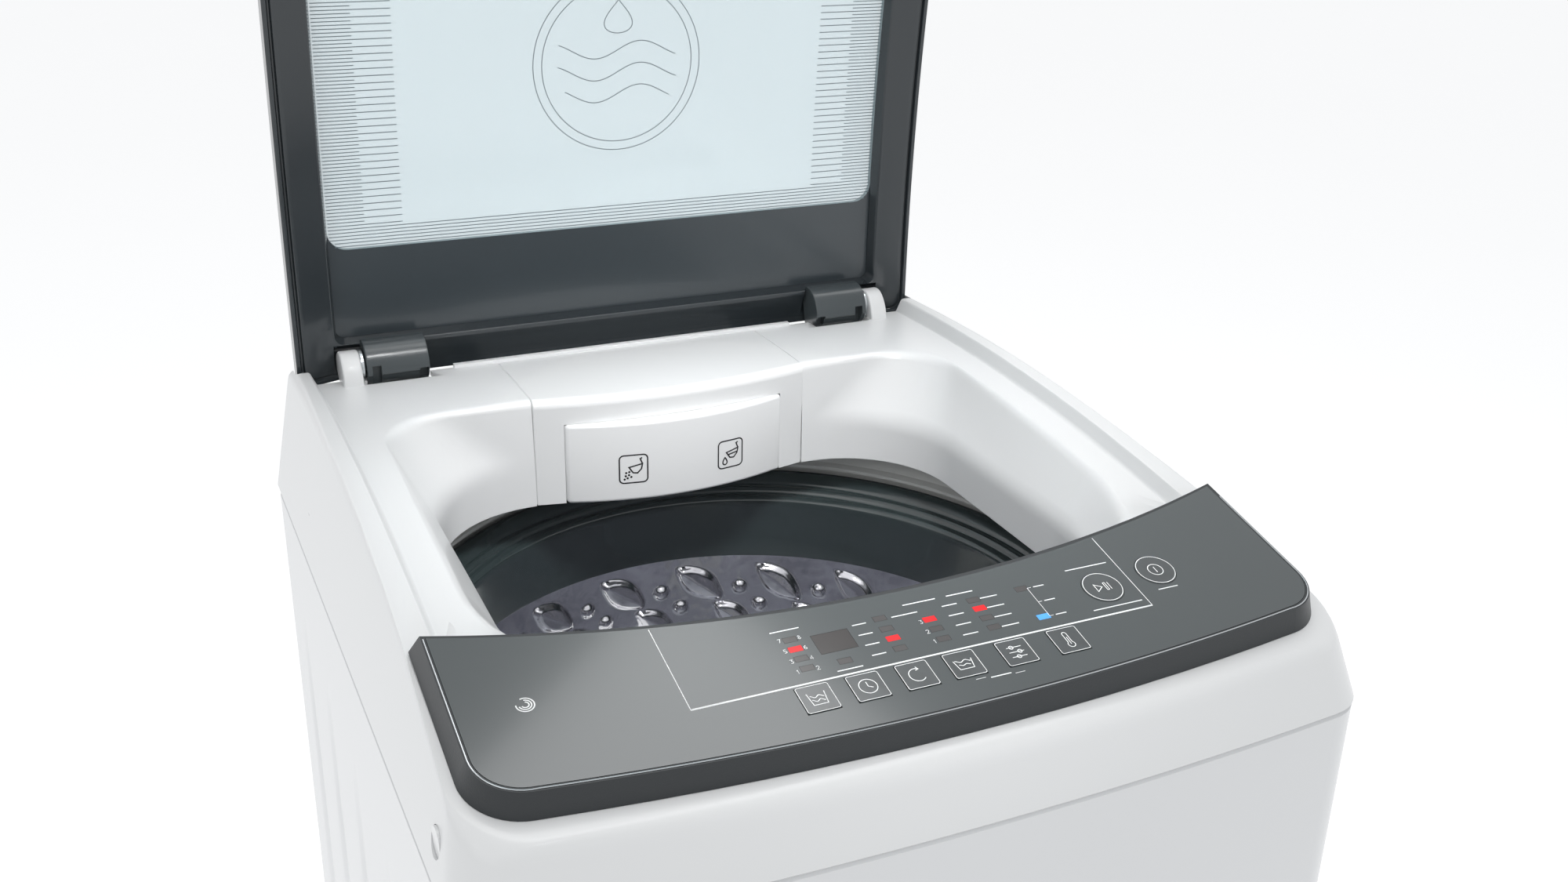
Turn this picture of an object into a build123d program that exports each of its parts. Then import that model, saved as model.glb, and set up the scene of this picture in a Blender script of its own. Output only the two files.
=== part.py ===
from build123d import *
import os
from math import acos, cos, radians, sin, sqrt, tan

# Top loading washing machine, lid open.
# Millimetres, +Z up, X to the right, +Y to the rear.
# Origin on the floor at the middle of the cabinet's footprint.

os.makedirs("parts", exist_ok=True)

# ---------------------------------------------------------------- cabinet
WIDTH = 540.0
HALF_W = WIDTH / 2
HALF_D = 270.0
FRONT_BOW = 13.0
CORNER_R = 30.0
SHEET = 1.2
GAP = 0.3
SEAM_Z = 827.0
WRAP_Z = 40.0
REAR_Y = 266.0
REAR_FLANGE = 18.0
FLOOR_CLEAR = 18.0
BASE_TOP = 62.0
FOOT_X = 225.0
FOOT_FRONT_Y = -215.0
FOOT_REAR_Y = 222.0
DRAIN_X = 150.0
DRAIN_Z = 41.0
SPIGOT_END_Y = 286.0
GLAND_X = -200.0
GLAND_Z = 790.0
INLET_X = -150.0
INLET_Z = 856.0
CAP_Y = -215.0
CAP_R = 8.0

# -------------------------------------------------------------- top cover
WALL = 3.0
RIM_R = 1900.0
RIM_CREST = (165.0, 918.5)
RECESS_DEPTH = 10.0
RECESS_HALF_W = 238.0
COVER_REAR_Y = 274.0
LID_LEDGE_Y = 261.0
LID_LEDGE_Z = 884.0
LID_SLOT_HALF_W = 250.5
MOUTH_HALF_W = 213.0
MOUTH_REAR_Y = 168.0
MOUTH_FRONT_Y = -166.0
SKIRT_HALF_W = 189.0
SKIRT_REAR_Y = 164.0
SKIRT_FRONT_Y = -148.0
SKIRT_Z = 829.0
SKIRT_TOP_Z = 866.0

# ---------------------------------------------------------- control panel
PANEL_Y = -127.0
PANEL_Z = 910.0
PANEL_TILT = 12.7
PANEL_HALF_W = 250.0
PANEL_SIDE = 114.5
PANEL_BOW = 131.0
PANEL_DIP = 36.0
PANEL_CORNER = 28.0
BEZEL_H = 14.0
BEZEL_TAPER = 20.0
OVERLAY_T = 1.2
KEY_SIZE = 18.6
KEY_V = 102.0
KEY_STAND = 0.5
KEY_XS = {
    "key_water_level": -72.3,
    "key_delay": -43.6,
    "key_function": -14.8,
    "key_rinse": 13.6,
    "key_program": 46.0,
    "key_temperature": 79.0,
}
ROUND_R = 12.3
ROUND_KEYS = {"start_pause_button": (123.5, 69.0), "power_button": (163.5, 64.5)}
LED_SIZE = (8.0, 4.2)
LED_ROWS = {-68.0: (57.5, 65.0, 72.5, 80.0), -13.7: (56.0, 64.5, 72.3, 80.5),
            12.9: (64.4, 72.4, 80.6), 44.6: (57.2, 64.4, 72.5, 80.4), 76.4: (56.5, 80.9),
            -46.5: (80.7,)}
DISPLAY = (-45.6, 65.5, 22.0, 15.0)

# -------------------------------------------------------------------- lid
HINGE_Y = 265.0
HINGE_Z = 915.0
LID_LEAN = 1.1
LID_R = RIM_R
LID_BACK = 2.7
LID_T = 18.0
GLASS_T = 4.0
LID_HALF_W = 248.5
LID_LEN_SIDE = 384.0
LID_LEN_MID = 419.0
LID_START = -14.0
LID_RIM = 31.0
LID_WINDOW_START = 17.0
BARREL_R = 15.0
BARREL_X = (157.0, 202.0)
EAR_X = (205.5, 219.5)
EAR_R = 13.0
PIN_R = 4.0

# -------------------------------------------------------------- dispenser
HOUSING_HALF_W = 104.7
HOUSING_REAR_Y = 256.0
HOUSING_TOP_Z = 911.0
HOUSING_BOW = 12.0
DRAWER_HALF_W = 84.0
DRAWER_TOP_Z = 890.0
DRAWER_Z = 829.5
DRAWER_FRONT_Y = 158.0
DRAWER_BOW = 15.0
DRAWER_REAR_Y = 248.0

# ----------------------------------------------------------- tub assembly
TUB_Y = 10.0
TUB_R = 241.0
TUB_WALL = 3.0
TUB_Z = 290.0
TUB_TOP = 800.0
COVER_INNER_R = 233.0
RING_R = 237.0
BASKET_R = 218.2
BASKET_T = 1.2
BASKET_Z = 304.0
BASKET_TOP = 745.0
BASE_PLATE_Z = 322.0
PULSATOR_R = 165.0
PULSATOR_Z = 338.0
SHAFT_R = 8.0
SPIN_R = 14.0
RUN = 0.3
ROD_X = 214.0
ROD_R = 4.0
ROD_TOP = 800.0
ROD_LOW = 196.0
ROD_HEAD_T = 5.0
ARM_Z = 282.0
GEARCASE_R = 62.0
PULLEY_Z = 176.0
PULLEY_H = 16.0
PULLEY_R = 72.0
MOTOR_Y = TUB_Y - 150.0
MOTOR_PULLEY_R = 24.0
BELT_T = 3.5
VALVE_X = -142.0

panel = Plane(origin=(0, PANEL_Y, PANEL_Z), x_dir=(1, 0, 0),
              z_dir=(0, -sin(radians(PANEL_TILT)), cos(radians(PANEL_TILT))))


def save(part, label):
    """Names a finished piece and writes it."""
    part.label = label
    export_step(part, f"parts/{label}.step")


def footprint(half_w, rear_y, front_y, bow, radius, rear_radius=6.0):
    """Plan outline: straight sides and rear, front bowed forward, rounded corners."""
    with BuildSketch() as plan:
        with BuildLine():
            front = ThreePointArc((-half_w, front_y), (0, front_y - bow), (half_w, front_y))
            Polyline(front @ 1, (half_w, rear_y), (-half_w, rear_y), front @ 0)
        make_face()
        fillet(plan.vertices().sort_by(Axis.Y)[:2], radius)
        fillet(plan.vertices().sort_by(Axis.Y)[-2:], rear_radius)
    return plan.sketch


def rim_z(y, drop=0.0):
    """Height of the crowned side rims at y, or of a surface below them."""
    return RIM_CREST[1] - (y - RIM_CREST[0]) ** 2 / (2 * RIM_R) - drop


def crown_profile(drop, front_drop, top=1000.0):
    """Side-view area above the crowned top of the cover and above the panel's seat."""
    break_y = PANEL_Y + 6.5
    low_y = -320.0

    def seat_z(y):
        return PANEL_Z - front_drop / cos(radians(PANEL_TILT)) + (y - PANEL_Y) * tan(radians(PANEL_TILT))

    with BuildSketch() as side:
        with BuildLine():
            arc = ThreePointArc((330, rim_z(330, drop)), (120, rim_z(120, drop)), (break_y, rim_z(break_y, drop)))
            Polyline(arc @ 1, (break_y, seat_z(break_y)), (low_y, seat_z(low_y)), (low_y, top), (330, top), arc @ 0)
        make_face()
    return side.sketch


# ================================================================ cabinet
def make_cabinet():
    inner_y = REAR_Y - SHEET
    panel_z = (SEAM_Z + BASE_TOP) / 2
    panel_h = SEAM_Z - BASE_TOP - 6
    screw_z = [panel_z - panel_h / 2 + 16 + i * (panel_h - 32) / 4 for i in range(5)]
    screw_places = [(side * (HALF_W - 12), REAR_Y, z) for z in screw_z for side in (1, -1)]
    with BuildPart() as cabinet_wrap:
        with BuildSketch(Plane.XY.offset(WRAP_Z)):
            add(footprint(HALF_W - 0.5, REAR_Y, -HALF_D + 0.5, FRONT_BOW, CORNER_R))
        extrude(amount=SEAM_Z - WRAP_Z - GAP)
        with BuildSketch(Plane.XY.offset(WRAP_Z - 1)):
            add(footprint(HALF_W - 0.5 - SHEET, inner_y, -HALF_D + 0.5 + SHEET, FRONT_BOW, CORNER_R - SHEET))
        extrude(amount=SEAM_Z - WRAP_Z + 2, mode=Mode.SUBTRACT)
        with Locations((0, REAR_Y, (SEAM_Z + WRAP_Z) / 2)):
            Box(2 * (HALF_W - REAR_FLANGE), 8 * SHEET, SEAM_Z, mode=Mode.SUBTRACT)
        with Locations(*screw_places):
            Cylinder(2.3, 10, rotation=(90, 0, 0), mode=Mode.SUBTRACT)
    save(cabinet_wrap.part, "cabinet_wrap")

    rear_mid_y = REAR_Y + GAP + SHEET / 2
    with BuildPart() as rear_panel:
        with Locations((0, rear_mid_y, panel_z)):
            Box(2 * HALF_W - 10, SHEET, panel_h)
        with Locations(*screw_places):
            Cylinder(2.3, 10, rotation=(90, 0, 0), mode=Mode.SUBTRACT)
        with Locations((GLAND_X, rear_mid_y, GLAND_Z)):
            Cylinder(9.3, 10, rotation=(90, 0, 0), mode=Mode.SUBTRACT)
        with Locations((0, rear_mid_y, 700), (0, rear_mid_y, 660), (0, rear_mid_y, 620)):
            Box(260, 10, 6, mode=Mode.SUBTRACT)
    save(rear_panel.part, "rear_panel")

    with BuildPart() as case_screws:
        for x, y, z in screw_places:
            with Locations((x, y + GAP + SHEET + 1.1, z)):
                Cylinder(4.2, 2, rotation=(90, 0, 0))
            with Locations((x, y - 3.5, z)):
                Cylinder(1.9, 11, rotation=(90, 0, 0))
    save(case_screws.part, "case_screws")

    with BuildPart() as cord_gland:
        with Locations((GLAND_X, rear_mid_y, GLAND_Z)):
            Cylinder(9.0, 14, rotation=(90, 0, 0))
        with Locations((GLAND_X, REAR_Y + GAP + SHEET + 2.3, GLAND_Z), (GLAND_X, REAR_Y - 2, GLAND_Z)):
            Cylinder(12.0, 4, rotation=(90, 0, 0))
        with Locations((GLAND_X, rear_mid_y, GLAND_Z)):
            Cylinder(3.8, 40, rotation=(90, 0, 0), mode=Mode.SUBTRACT)
    save(cord_gland.part, "cord_gland")


def make_base():
    half_x = HALF_W - 3.0
    with BuildPart() as base_frame:
        with BuildSketch(Plane.XY.offset(FLOOR_CLEAR)):
            add(footprint(half_x, REAR_Y - 3, -HALF_D + 3, FRONT_BOW, CORNER_R - 2))
        extrude(amount=BASE_TOP - FLOOR_CLEAR)
        with BuildSketch(Plane.XY.offset(FLOOR_CLEAR)):
            with Locations((0, 0)):
                RectangleRounded(2 * half_x - 74, 460, 60)
        extrude(amount=60, mode=Mode.SUBTRACT)
        with BuildSketch(Plane.XY.offset(FLOOR_CLEAR - 1)):
            add(footprint(half_x - 4, REAR_Y - 7, -HALF_D + 7, FRONT_BOW, CORNER_R - 6))
            with Locations((0, 0)):
                RectangleRounded(2 * half_x - 66, 468, 64, mode=Mode.SUBTRACT)
            with Locations((FOOT_X, FOOT_FRONT_Y), (-FOOT_X, FOOT_FRONT_Y),
                           (FOOT_X, FOOT_REAR_Y), (-FOOT_X, FOOT_REAR_Y)):
                Circle(24, mode=Mode.SUBTRACT)
        extrude(amount=BASE_TOP - FLOOR_CLEAR - 4, mode=Mode.SUBTRACT)
        with Locations((FOOT_X, FOOT_FRONT_Y, 40), (-FOOT_X, FOOT_FRONT_Y, 40)):
            Cylinder(5.4, 60, mode=Mode.SUBTRACT)
        with Locations((FOOT_X, FOOT_REAR_Y, FLOOR_CLEAR), (-FOOT_X, FOOT_REAR_Y, FLOOR_CLEAR)):
            Cylinder(8.3, 20, mode=Mode.SUBTRACT)
        with Locations((DRAIN_X, REAR_Y - 20, DRAIN_Z)):
            Cylinder(18.5, 90, rotation=(90, 0, 0), mode=Mode.SUBTRACT)
    save(base_frame.part, "base_frame")

    with BuildPart() as rear_feet:
        with Locations((FOOT_X, FOOT_REAR_Y, 0), (-FOOT_X, FOOT_REAR_Y, 0)):
            Cone(20, 17, FLOOR_CLEAR - GAP, align=(Align.CENTER, Align.CENTER, Align.MIN))
            Cylinder(8, 27, align=(Align.CENTER, Align.CENTER, Align.MIN))
    save(rear_feet.part, "rear_feet")

    for label, x in (("front_foot_left", -FOOT_X), ("front_foot_right", FOOT_X)):
        with BuildPart() as foot:
            with Locations((x, FOOT_FRONT_Y, 0)):
                Cone(21, 18, 9, align=(Align.CENTER, Align.CENTER, Align.MIN))
                Cylinder(5, 70, align=(Align.CENTER, Align.CENTER, Align.MIN))
        save(foot.part, label)

    with BuildPart() as foot_lock_nuts:
        for x in (FOOT_X, -FOOT_X):
            with BuildSketch(Plane.XY.offset(10.5)):
                with Locations((x, FOOT_FRONT_Y)):
                    RegularPolygon(9.8, 6)
                    Circle(5.4, mode=Mode.SUBTRACT)
            extrude(amount=6.5)
    save(foot_lock_nuts.part, "foot_lock_nuts")

    with BuildPart() as drain_spigot:
        with Locations((DRAIN_X, REAR_Y - 17, DRAIN_Z)):
            Cylinder(17, 32, rotation=(90, 0, 0))
        with Locations((DRAIN_X, REAR_Y - 0.5, DRAIN_Z)):
            Cylinder(20, 4, rotation=(90, 0, 0))
        with Locations((DRAIN_X, SPIGOT_END_Y - 26, DRAIN_Z)):
            Cylinder(14, 52, rotation=(90, 0, 0))
            Cylinder(11.5, 80, rotation=(90, 0, 0), mode=Mode.SUBTRACT)
    save(drain_spigot.part, "drain_spigot")


# ============================================================== top cover
def cover_body(inset, top_z):
    """Tapering block of the cover's outer form, or of its hollow when inset."""
    front_lean = 40.0
    with BuildPart() as body:
        with BuildSketch(Plane.XY.offset(SEAM_Z)):
            add(footprint(HALF_W - inset, COVER_REAR_Y - inset, -HALF_D + inset, FRONT_BOW, CORNER_R))
        with BuildSketch(Plane.XY.offset(top_z)):
            front_y = -HALF_D + front_lean + inset
            add(footprint(HALF_W - 19 - inset, COVER_REAR_Y - inset, front_y, FRONT_BOW, CORNER_R))
        loft()
    return body.part


def mouth(half_w, rear_y, front_y, corner, front_corner):
    """Outline of the loading mouth at one level."""
    dip = 20.0
    with BuildSketch() as plan:
        with BuildLine():
            front = ThreePointArc((-half_w + 6, front_y + dip), (0, front_y), (half_w - 6, front_y + dip))
            Polyline(front @ 1, (half_w, 60), (half_w - 4, rear_y), (-half_w + 4, rear_y), (-half_w, 60), front @ 0)
        make_face()
        fillet(plan.vertices().sort_by(Axis.Y)[:2], front_corner)
        fillet(plan.vertices().sort_by(Axis.Y)[-2:], corner)
    return plan.sketch


def make_top_cover():
    with BuildPart() as funnel_space:
        with BuildSketch(Plane.XY.offset(SKIRT_TOP_Z)):
            add(mouth(SKIRT_HALF_W, SKIRT_REAR_Y, SKIRT_FRONT_Y, 66, 84))
        with BuildSketch(Plane.XY.offset(rim_z(60, RECESS_DEPTH))):
            add(mouth(MOUTH_HALF_W, MOUTH_REAR_Y, MOUTH_FRONT_Y, 50, 90))
        loft()
        with BuildSketch(Plane.XY.offset(SKIRT_Z - 5)):
            add(mouth(SKIRT_HALF_W, SKIRT_REAR_Y, SKIRT_FRONT_Y, 66, 84))
        extrude(amount=SKIRT_TOP_Z - SKIRT_Z + 5)
        with BuildSketch(Plane.XY.offset(rim_z(60, RECESS_DEPTH))):
            add(mouth(MOUTH_HALF_W, MOUTH_REAR_Y, MOUTH_FRONT_Y, 50, 90))
        extrude(amount=40)
    with BuildPart() as funnel:
        with BuildSketch(Plane.XY.offset(SKIRT_TOP_Z)):
            add(mouth(SKIRT_HALF_W + WALL, SKIRT_REAR_Y + WALL, SKIRT_FRONT_Y - WALL, 69, 87))
        with BuildSketch(Plane.XY.offset(rim_z(60, RECESS_DEPTH))):
            add(mouth(MOUTH_HALF_W + WALL, MOUTH_REAR_Y + WALL, MOUTH_FRONT_Y - WALL, 53, 93))
        loft()
        with BuildSketch(Plane.XY.offset(SKIRT_Z)):
            add(mouth(SKIRT_HALF_W + WALL, SKIRT_REAR_Y + WALL, SKIRT_FRONT_Y - WALL, 69, 87))
        extrude(amount=SKIRT_TOP_Z - SKIRT_Z)

    with BuildPart() as top_cover:
        add(cover_body(0, 930))
        with BuildPart(mode=Mode.PRIVATE) as hollow:
            add(cover_body(WALL, 930 - 0.01))
            with BuildSketch(Plane.YZ):
                add(crown_profile(RECESS_DEPTH + WALL, BEZEL_H + WALL))
            extrude(amount=300, both=True, mode=Mode.SUBTRACT)
        add(hollow.part, mode=Mode.SUBTRACT)
        add(funnel.part)
        with BuildSketch(Plane.YZ):
            add(crown_profile(0, BEZEL_H + GAP))
        extrude(amount=300, both=True, mode=Mode.SUBTRACT)
        with BuildSketch(Plane.YZ):
            add(crown_profile(RECESS_DEPTH, -60))
        extrude(amount=RECESS_HALF_W, both=True, mode=Mode.SUBTRACT)
        with Locations((0, (LID_LEDGE_Y + 300) / 2, LID_LEDGE_Z + 50)):
            Box(2 * LID_SLOT_HALF_W, 300 - LID_LEDGE_Y, 100, mode=Mode.SUBTRACT)
        # wall that closes the step behind the recess
        with Locations((0, LID_LEDGE_Y - WALL / 2, (LID_LEDGE_Z + rim_z(LID_LEDGE_Y, RECESS_DEPTH)) / 2)):
            Box(2 * LID_SLOT_HALF_W, WALL, rim_z(LID_LEDGE_Y, RECESS_DEPTH) - LID_LEDGE_Z)
        with Locations((0, (LID_LEDGE_Y + COVER_REAR_Y) / 2 - WALL / 2, LID_LEDGE_Z - WALL / 2)):
            Box(2 * LID_SLOT_HALF_W, COVER_REAR_Y - LID_LEDGE_Y, WALL)
        add(funnel_space.part, mode=Mode.SUBTRACT)
        # seat of the detergent housing
        with Locations((0, (HOUSING_REAR_Y + 140) / 2, 880)):
            Box(2 * (HOUSING_HALF_W + GAP), HOUSING_REAR_Y + GAP - 140, 120, mode=Mode.SUBTRACT)
        # notches that the hinge barrels turn in
        barrel_mid = (BARREL_X[0] + BARREL_X[1]) / 2
        notch_w = BARREL_X[1] - BARREL_X[0] + 4
        for side in (1, -1):
            with Locations((side * barrel_mid, HINGE_Y, HINGE_Z)):
                Cylinder(BARREL_R + 5.5, notch_w, rotation=(0, 90, 0), mode=Mode.SUBTRACT)
        # hinge ears
        for side in (1, -1):
            with Locations((side * sum(EAR_X) / 2, HINGE_Y - 1, HINGE_Z)):
                Cylinder(EAR_R, EAR_X[1] - EAR_X[0], rotation=(0, 90, 0))
            with Locations((side * sum(EAR_X) / 2, HINGE_Y - 11, HINGE_Z - 9)):
                Box(EAR_X[1] - EAR_X[0], 22, 18)
            with Locations((side * sum(EAR_X) / 2, HINGE_Y, HINGE_Z)):
                Cylinder(7.0, 30, rotation=(0, 90, 0), mode=Mode.SUBTRACT)
        # screw-cap recesses low on the flanks
        for side in (1, -1):
            with Locations((side * (HALF_W - 3), CAP_Y, SEAM_Z + 22)):
                Cylinder(CAP_R + GAP, 9, rotation=(0, 90, 0), mode=Mode.SUBTRACT)
        # water inlet hole in the rear wall
        with Locations((INLET_X, COVER_REAR_Y - 2, INLET_Z)):
            Cylinder(14.5, 12, rotation=(90, 0, 0), mode=Mode.SUBTRACT)
    save(top_cover.part, "top_cover")

    with BuildPart() as screw_caps:
        for side in (1, -1):
            with Locations((side * (HALF_W - 5.4), CAP_Y, SEAM_Z + 22)):
                Cylinder(CAP_R, 3, rotation=(0, 90, 0))
    save(screw_caps.part, "screw_caps")


# ========================================================== control panel
def panel_outline(inset):
    """Panel's face: dipped rear edge, bowed front edge, rounded front corners."""
    w = PANEL_HALF_W - inset
    with BuildSketch() as face:
        with BuildLine():
            rear = ThreePointArc((w, -inset), (0, -PANEL_DIP - inset), (-w, -inset))
            front = ThreePointArc((-w, -PANEL_SIDE + inset), (0, -PANEL_BOW + inset), (w, -PANEL_SIDE + inset))
            Line(rear @ 1, front @ 0)
            Line(front @ 1, rear @ 0)
        make_face()
        fillet(face.vertices().sort_by(Axis.Y)[:2], PANEL_CORNER - inset)
    return face.sketch


def key_places():
    """Places of the square keys on the panel's face."""
    return [(x, -KEY_V) for x in KEY_XS.values()]


def led_places():
    """Places of the indicator lenses on the panel's face."""
    return [(x, -v) for x, rows in LED_ROWS.items() for v in rows]


def panel_holes(key_gap, lens_gap):
    """Openings for every key, button, lens and the display."""
    with BuildSketch() as holes:
        with Locations(*key_places()):
            Rectangle(KEY_SIZE + 2 * key_gap, KEY_SIZE + 2 * key_gap)
        with Locations(*[(x, -v) for x, v in ROUND_KEYS.values()]):
            Circle(ROUND_R + key_gap)
        with Locations(*led_places()):
            Rectangle(LED_SIZE[0] + 2 * lens_gap, LED_SIZE[1] + 2 * lens_gap)
        with Locations((DISPLAY[0], -DISPLAY[1])):
            Rectangle(DISPLAY[2] + 2 * lens_gap, DISPLAY[3] + 2 * lens_gap)
    return holes.sketch


def make_panel():
    skin = 2.2
    rim = 2.4
    flare = BEZEL_H * sin(radians(BEZEL_TAPER))
    with BuildPart() as control_bezel:
        with BuildSketch(panel.offset(-BEZEL_H)):
            add(panel_outline(-flare))
        with BuildSketch(panel.offset(-0.2)):
            add(panel_outline(0))
        loft()
        with BuildSketch(panel.offset(-BEZEL_H)):
            add(panel_outline(skin - flare))
        with BuildSketch(panel.offset(-OVERLAY_T - skin)):
            add(panel_outline(skin))
        loft(mode=Mode.SUBTRACT)
        with BuildSketch(panel.offset(-OVERLAY_T)):
            add(panel_outline(rim))
        extrude(amount=2 * OVERLAY_T, mode=Mode.SUBTRACT)
        with BuildSketch(panel.offset(-OVERLAY_T + 1)):
            add(panel_holes(GAP, GAP))
        extrude(amount=-skin - 2, mode=Mode.SUBTRACT)
    save(control_bezel.part, "control_bezel")

    with BuildPart() as control_overlay:
        with BuildSketch(panel.offset(-OVERLAY_T)):
            add(panel_outline(rim + 0.2))
            add(panel_holes(GAP, 0), mode=Mode.SUBTRACT)
        extrude(amount=OVERLAY_T)
    save(control_overlay.part, "control_overlay")

    lens_drop = 3.4
    with BuildPart() as indicator_lenses:
        with BuildSketch(panel.offset(-lens_drop)):
            with Locations(*led_places()):
                Rectangle(LED_SIZE[0] - 0.3, LED_SIZE[1] - 0.3)
        extrude(amount=lens_drop)
    save(indicator_lenses.part, "indicator_lenses")

    with BuildPart() as display_window:
        with BuildSketch(panel.offset(-lens_drop)):
            with Locations((DISPLAY[0], -DISPLAY[1])):
                Rectangle(DISPLAY[2] - 0.3, DISPLAY[3] - 0.3)
        extrude(amount=lens_drop)
    save(display_window.part, "display_window")

    board_z = -9.5
    for label, x in KEY_XS.items():
        with BuildPart() as key:
            with BuildSketch(panel.offset(-5.5)):
                with Locations((x, -KEY_V)):
                    RectangleRounded(KEY_SIZE, KEY_SIZE, 1.2)
            extrude(amount=5.5 + KEY_STAND)
        save(key.part, label)
    for label, (x, v) in ROUND_KEYS.items():
        with BuildPart() as button:
            with BuildSketch(panel.offset(-5.5)):
                with Locations((x, -v)):
                    Circle(ROUND_R)
            extrude(amount=5.5 + KEY_STAND)
            chamfer(button.faces().sort_by(Axis(panel.origin, panel.z_dir))[-1].edges(), 0.4)
        save(button.part, label)

    with BuildPart() as control_board:
        with BuildSketch(panel.offset(board_z)):
            with Locations((40, -82)):
                Rectangle(330, 72)
        extrude(amount=1.6)
    save(control_board.part, "control_board")


# ==================================================================== lid
def lid_point(s, depth):
    """Side-view point (y, z) of the open lid: s along it from the hinge, depth behind its inner face."""
    lean = radians(LID_LEAN)
    centre_y = HINGE_Y + LID_BACK - LID_R * cos(lean)
    centre_z = HINGE_Z + LID_R * sin(lean)
    angle = s / LID_R - lean
    return (centre_y + (LID_R + depth) * cos(angle), centre_z + (LID_R + depth) * sin(angle))


def lid_slab(depth_0, depth_1, s_0, s_1, half_w):
    """Curved slab of the lid between two depths and two stations."""
    s_m = (s_0 + s_1) / 2
    with BuildPart() as slab:
        with BuildSketch(Plane.YZ):
            with BuildLine():
                inner = ThreePointArc(lid_point(s_0, depth_0), lid_point(s_m, depth_0), lid_point(s_1, depth_0))
                outer = ThreePointArc(lid_point(s_0, depth_1), lid_point(s_m, depth_1), lid_point(s_1, depth_1))
                Line(inner @ 0, outer @ 0)
                Line(inner @ 1, outer @ 1)
            make_face()
        extrude(amount=half_w, both=True)
    return slab.part


def lid_outline(inset, low, end_radius, low_radius):
    """Front-view outline on the open lid; its free end is bowed to meet the panel."""
    w = LID_HALF_W - inset
    side_z = HINGE_Z + LID_LEN_SIDE - inset
    mid_z = HINGE_Z + LID_LEN_MID - inset
    with BuildSketch() as front:
        with BuildLine():
            end = ThreePointArc((-w, side_z), (0, mid_z), (w, side_z))
            Polyline(end @ 1, (w, low), (-w, low), end @ 0)
        make_face()
        fillet(front.vertices().sort_by(Axis.Y)[-2:], end_radius)
        fillet(front.vertices().sort_by(Axis.Y)[:2], low_radius)
    return front.sketch


def make_lid():
    reach = 440.0
    depth = 400.0
    low_edge = HINGE_Z + LID_START
    with BuildPart() as lid_frame:
        add(lid_slab(0, LID_T - GLASS_T - GAP, -30, reach, LID_HALF_W + 5))
        with BuildSketch(Plane.XZ):
            add(lid_outline(0, low_edge, 14, 5))
        extrude(amount=-depth, mode=Mode.INTERSECT)
        with BuildSketch(Plane.XZ):
            add(lid_outline(LID_RIM, HINGE_Z + LID_WINDOW_START, 10, 10))
        extrude(amount=-depth, mode=Mode.SUBTRACT)
        # room for the hinge ears and barrels
        for side in (1, -1):
            with Locations((side * (BARREL_X[0] + EAR_X[1]) / 2, HINGE_Y - 1, HINGE_Z)):
                Cylinder(EAR_R + 3.2, EAR_X[1] - BARREL_X[0] + 3, rotation=(0, 90, 0), mode=Mode.SUBTRACT)
    save(lid_frame.part, "lid_frame")

    with BuildPart() as lid_glass:
        add(lid_slab(LID_T - GLASS_T, LID_T, -30, reach, LID_HALF_W + 5))
        with BuildSketch(Plane.XZ):
            add(lid_outline(1.5, low_edge + 1.5, 13, 5))
        extrude(amount=-depth, mode=Mode.INTERSECT)
    save(lid_glass.part, "lid_glass")

    bore = PIN_R + 0.06
    with BuildPart() as hinge_covers:
        for side in (1, -1):
            mid = side * sum(BARREL_X) / 2
            width = BARREL_X[1] - BARREL_X[0]
            with Locations((mid, HINGE_Y, HINGE_Z)):
                Cylinder(BARREL_R, width, rotation=(0, 90, 0))
            with Locations((mid, HINGE_Y - 4.5, HINGE_Z + 8)):
                Box(width, 12, 16)
            with Locations((mid, HINGE_Y, HINGE_Z)):
                Cylinder(bore, width + 2, rotation=(0, 90, 0), mode=Mode.SUBTRACT)
    save(hinge_covers.part, "hinge_covers")

    bumper_h = 1.5
    bumper_s = 366.0
    tilt = bumper_s / LID_R - radians(LID_LEAN)
    bumper_y, bumper_z = lid_point(bumper_s, -0.05)
    with BuildPart() as lid_bumpers:
        for side in (1, -1):
            at = (side * (LID_HALF_W - 3.6), bumper_y, bumper_z)
            with Locations(Plane(origin=at, z_dir=(0, -cos(tilt), -sin(tilt)))):
                Cylinder(3, bumper_h, align=(Align.CENTER, Align.CENTER, Align.MIN))
    save(lid_bumpers.part, "lid_bumpers")

    with BuildPart() as hinge_pins:
        for side in (1, -1):
            with Locations((side * (BARREL_X[0] + EAR_X[1]) / 2, HINGE_Y, HINGE_Z)):
                Cylinder(PIN_R, EAR_X[1] - BARREL_X[0] - 4, rotation=(0, 90, 0))
    save(hinge_pins.part, "hinge_pins")

    with BuildPart() as hinge_bushes:
        for side in (1, -1):
            with Locations((side * (EAR_X[0] + EAR_X[1] - 1.6) / 2, HINGE_Y, HINGE_Z)):
                Cylinder(6.8, EAR_X[1] - EAR_X[0] + 0.6, rotation=(0, 90, 0))
                Cylinder(PIN_R + 0.02, 40, rotation=(0, 90, 0), mode=Mode.SUBTRACT)
    save(hinge_bushes.part, "hinge_bushes")


# ============================================================== dispenser
def bowed_front(half_w, front_y, bow, rear_y):
    """Plan outline of a box whose front is bowed forward."""
    with BuildSketch() as plan:
        with BuildLine():
            front = ThreePointArc((-half_w, front_y), (0, front_y - bow), (half_w, front_y))
            Polyline(front @ 1, (half_w, rear_y), (-half_w, rear_y), front @ 0)
        make_face()
    return plan.sketch


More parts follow.
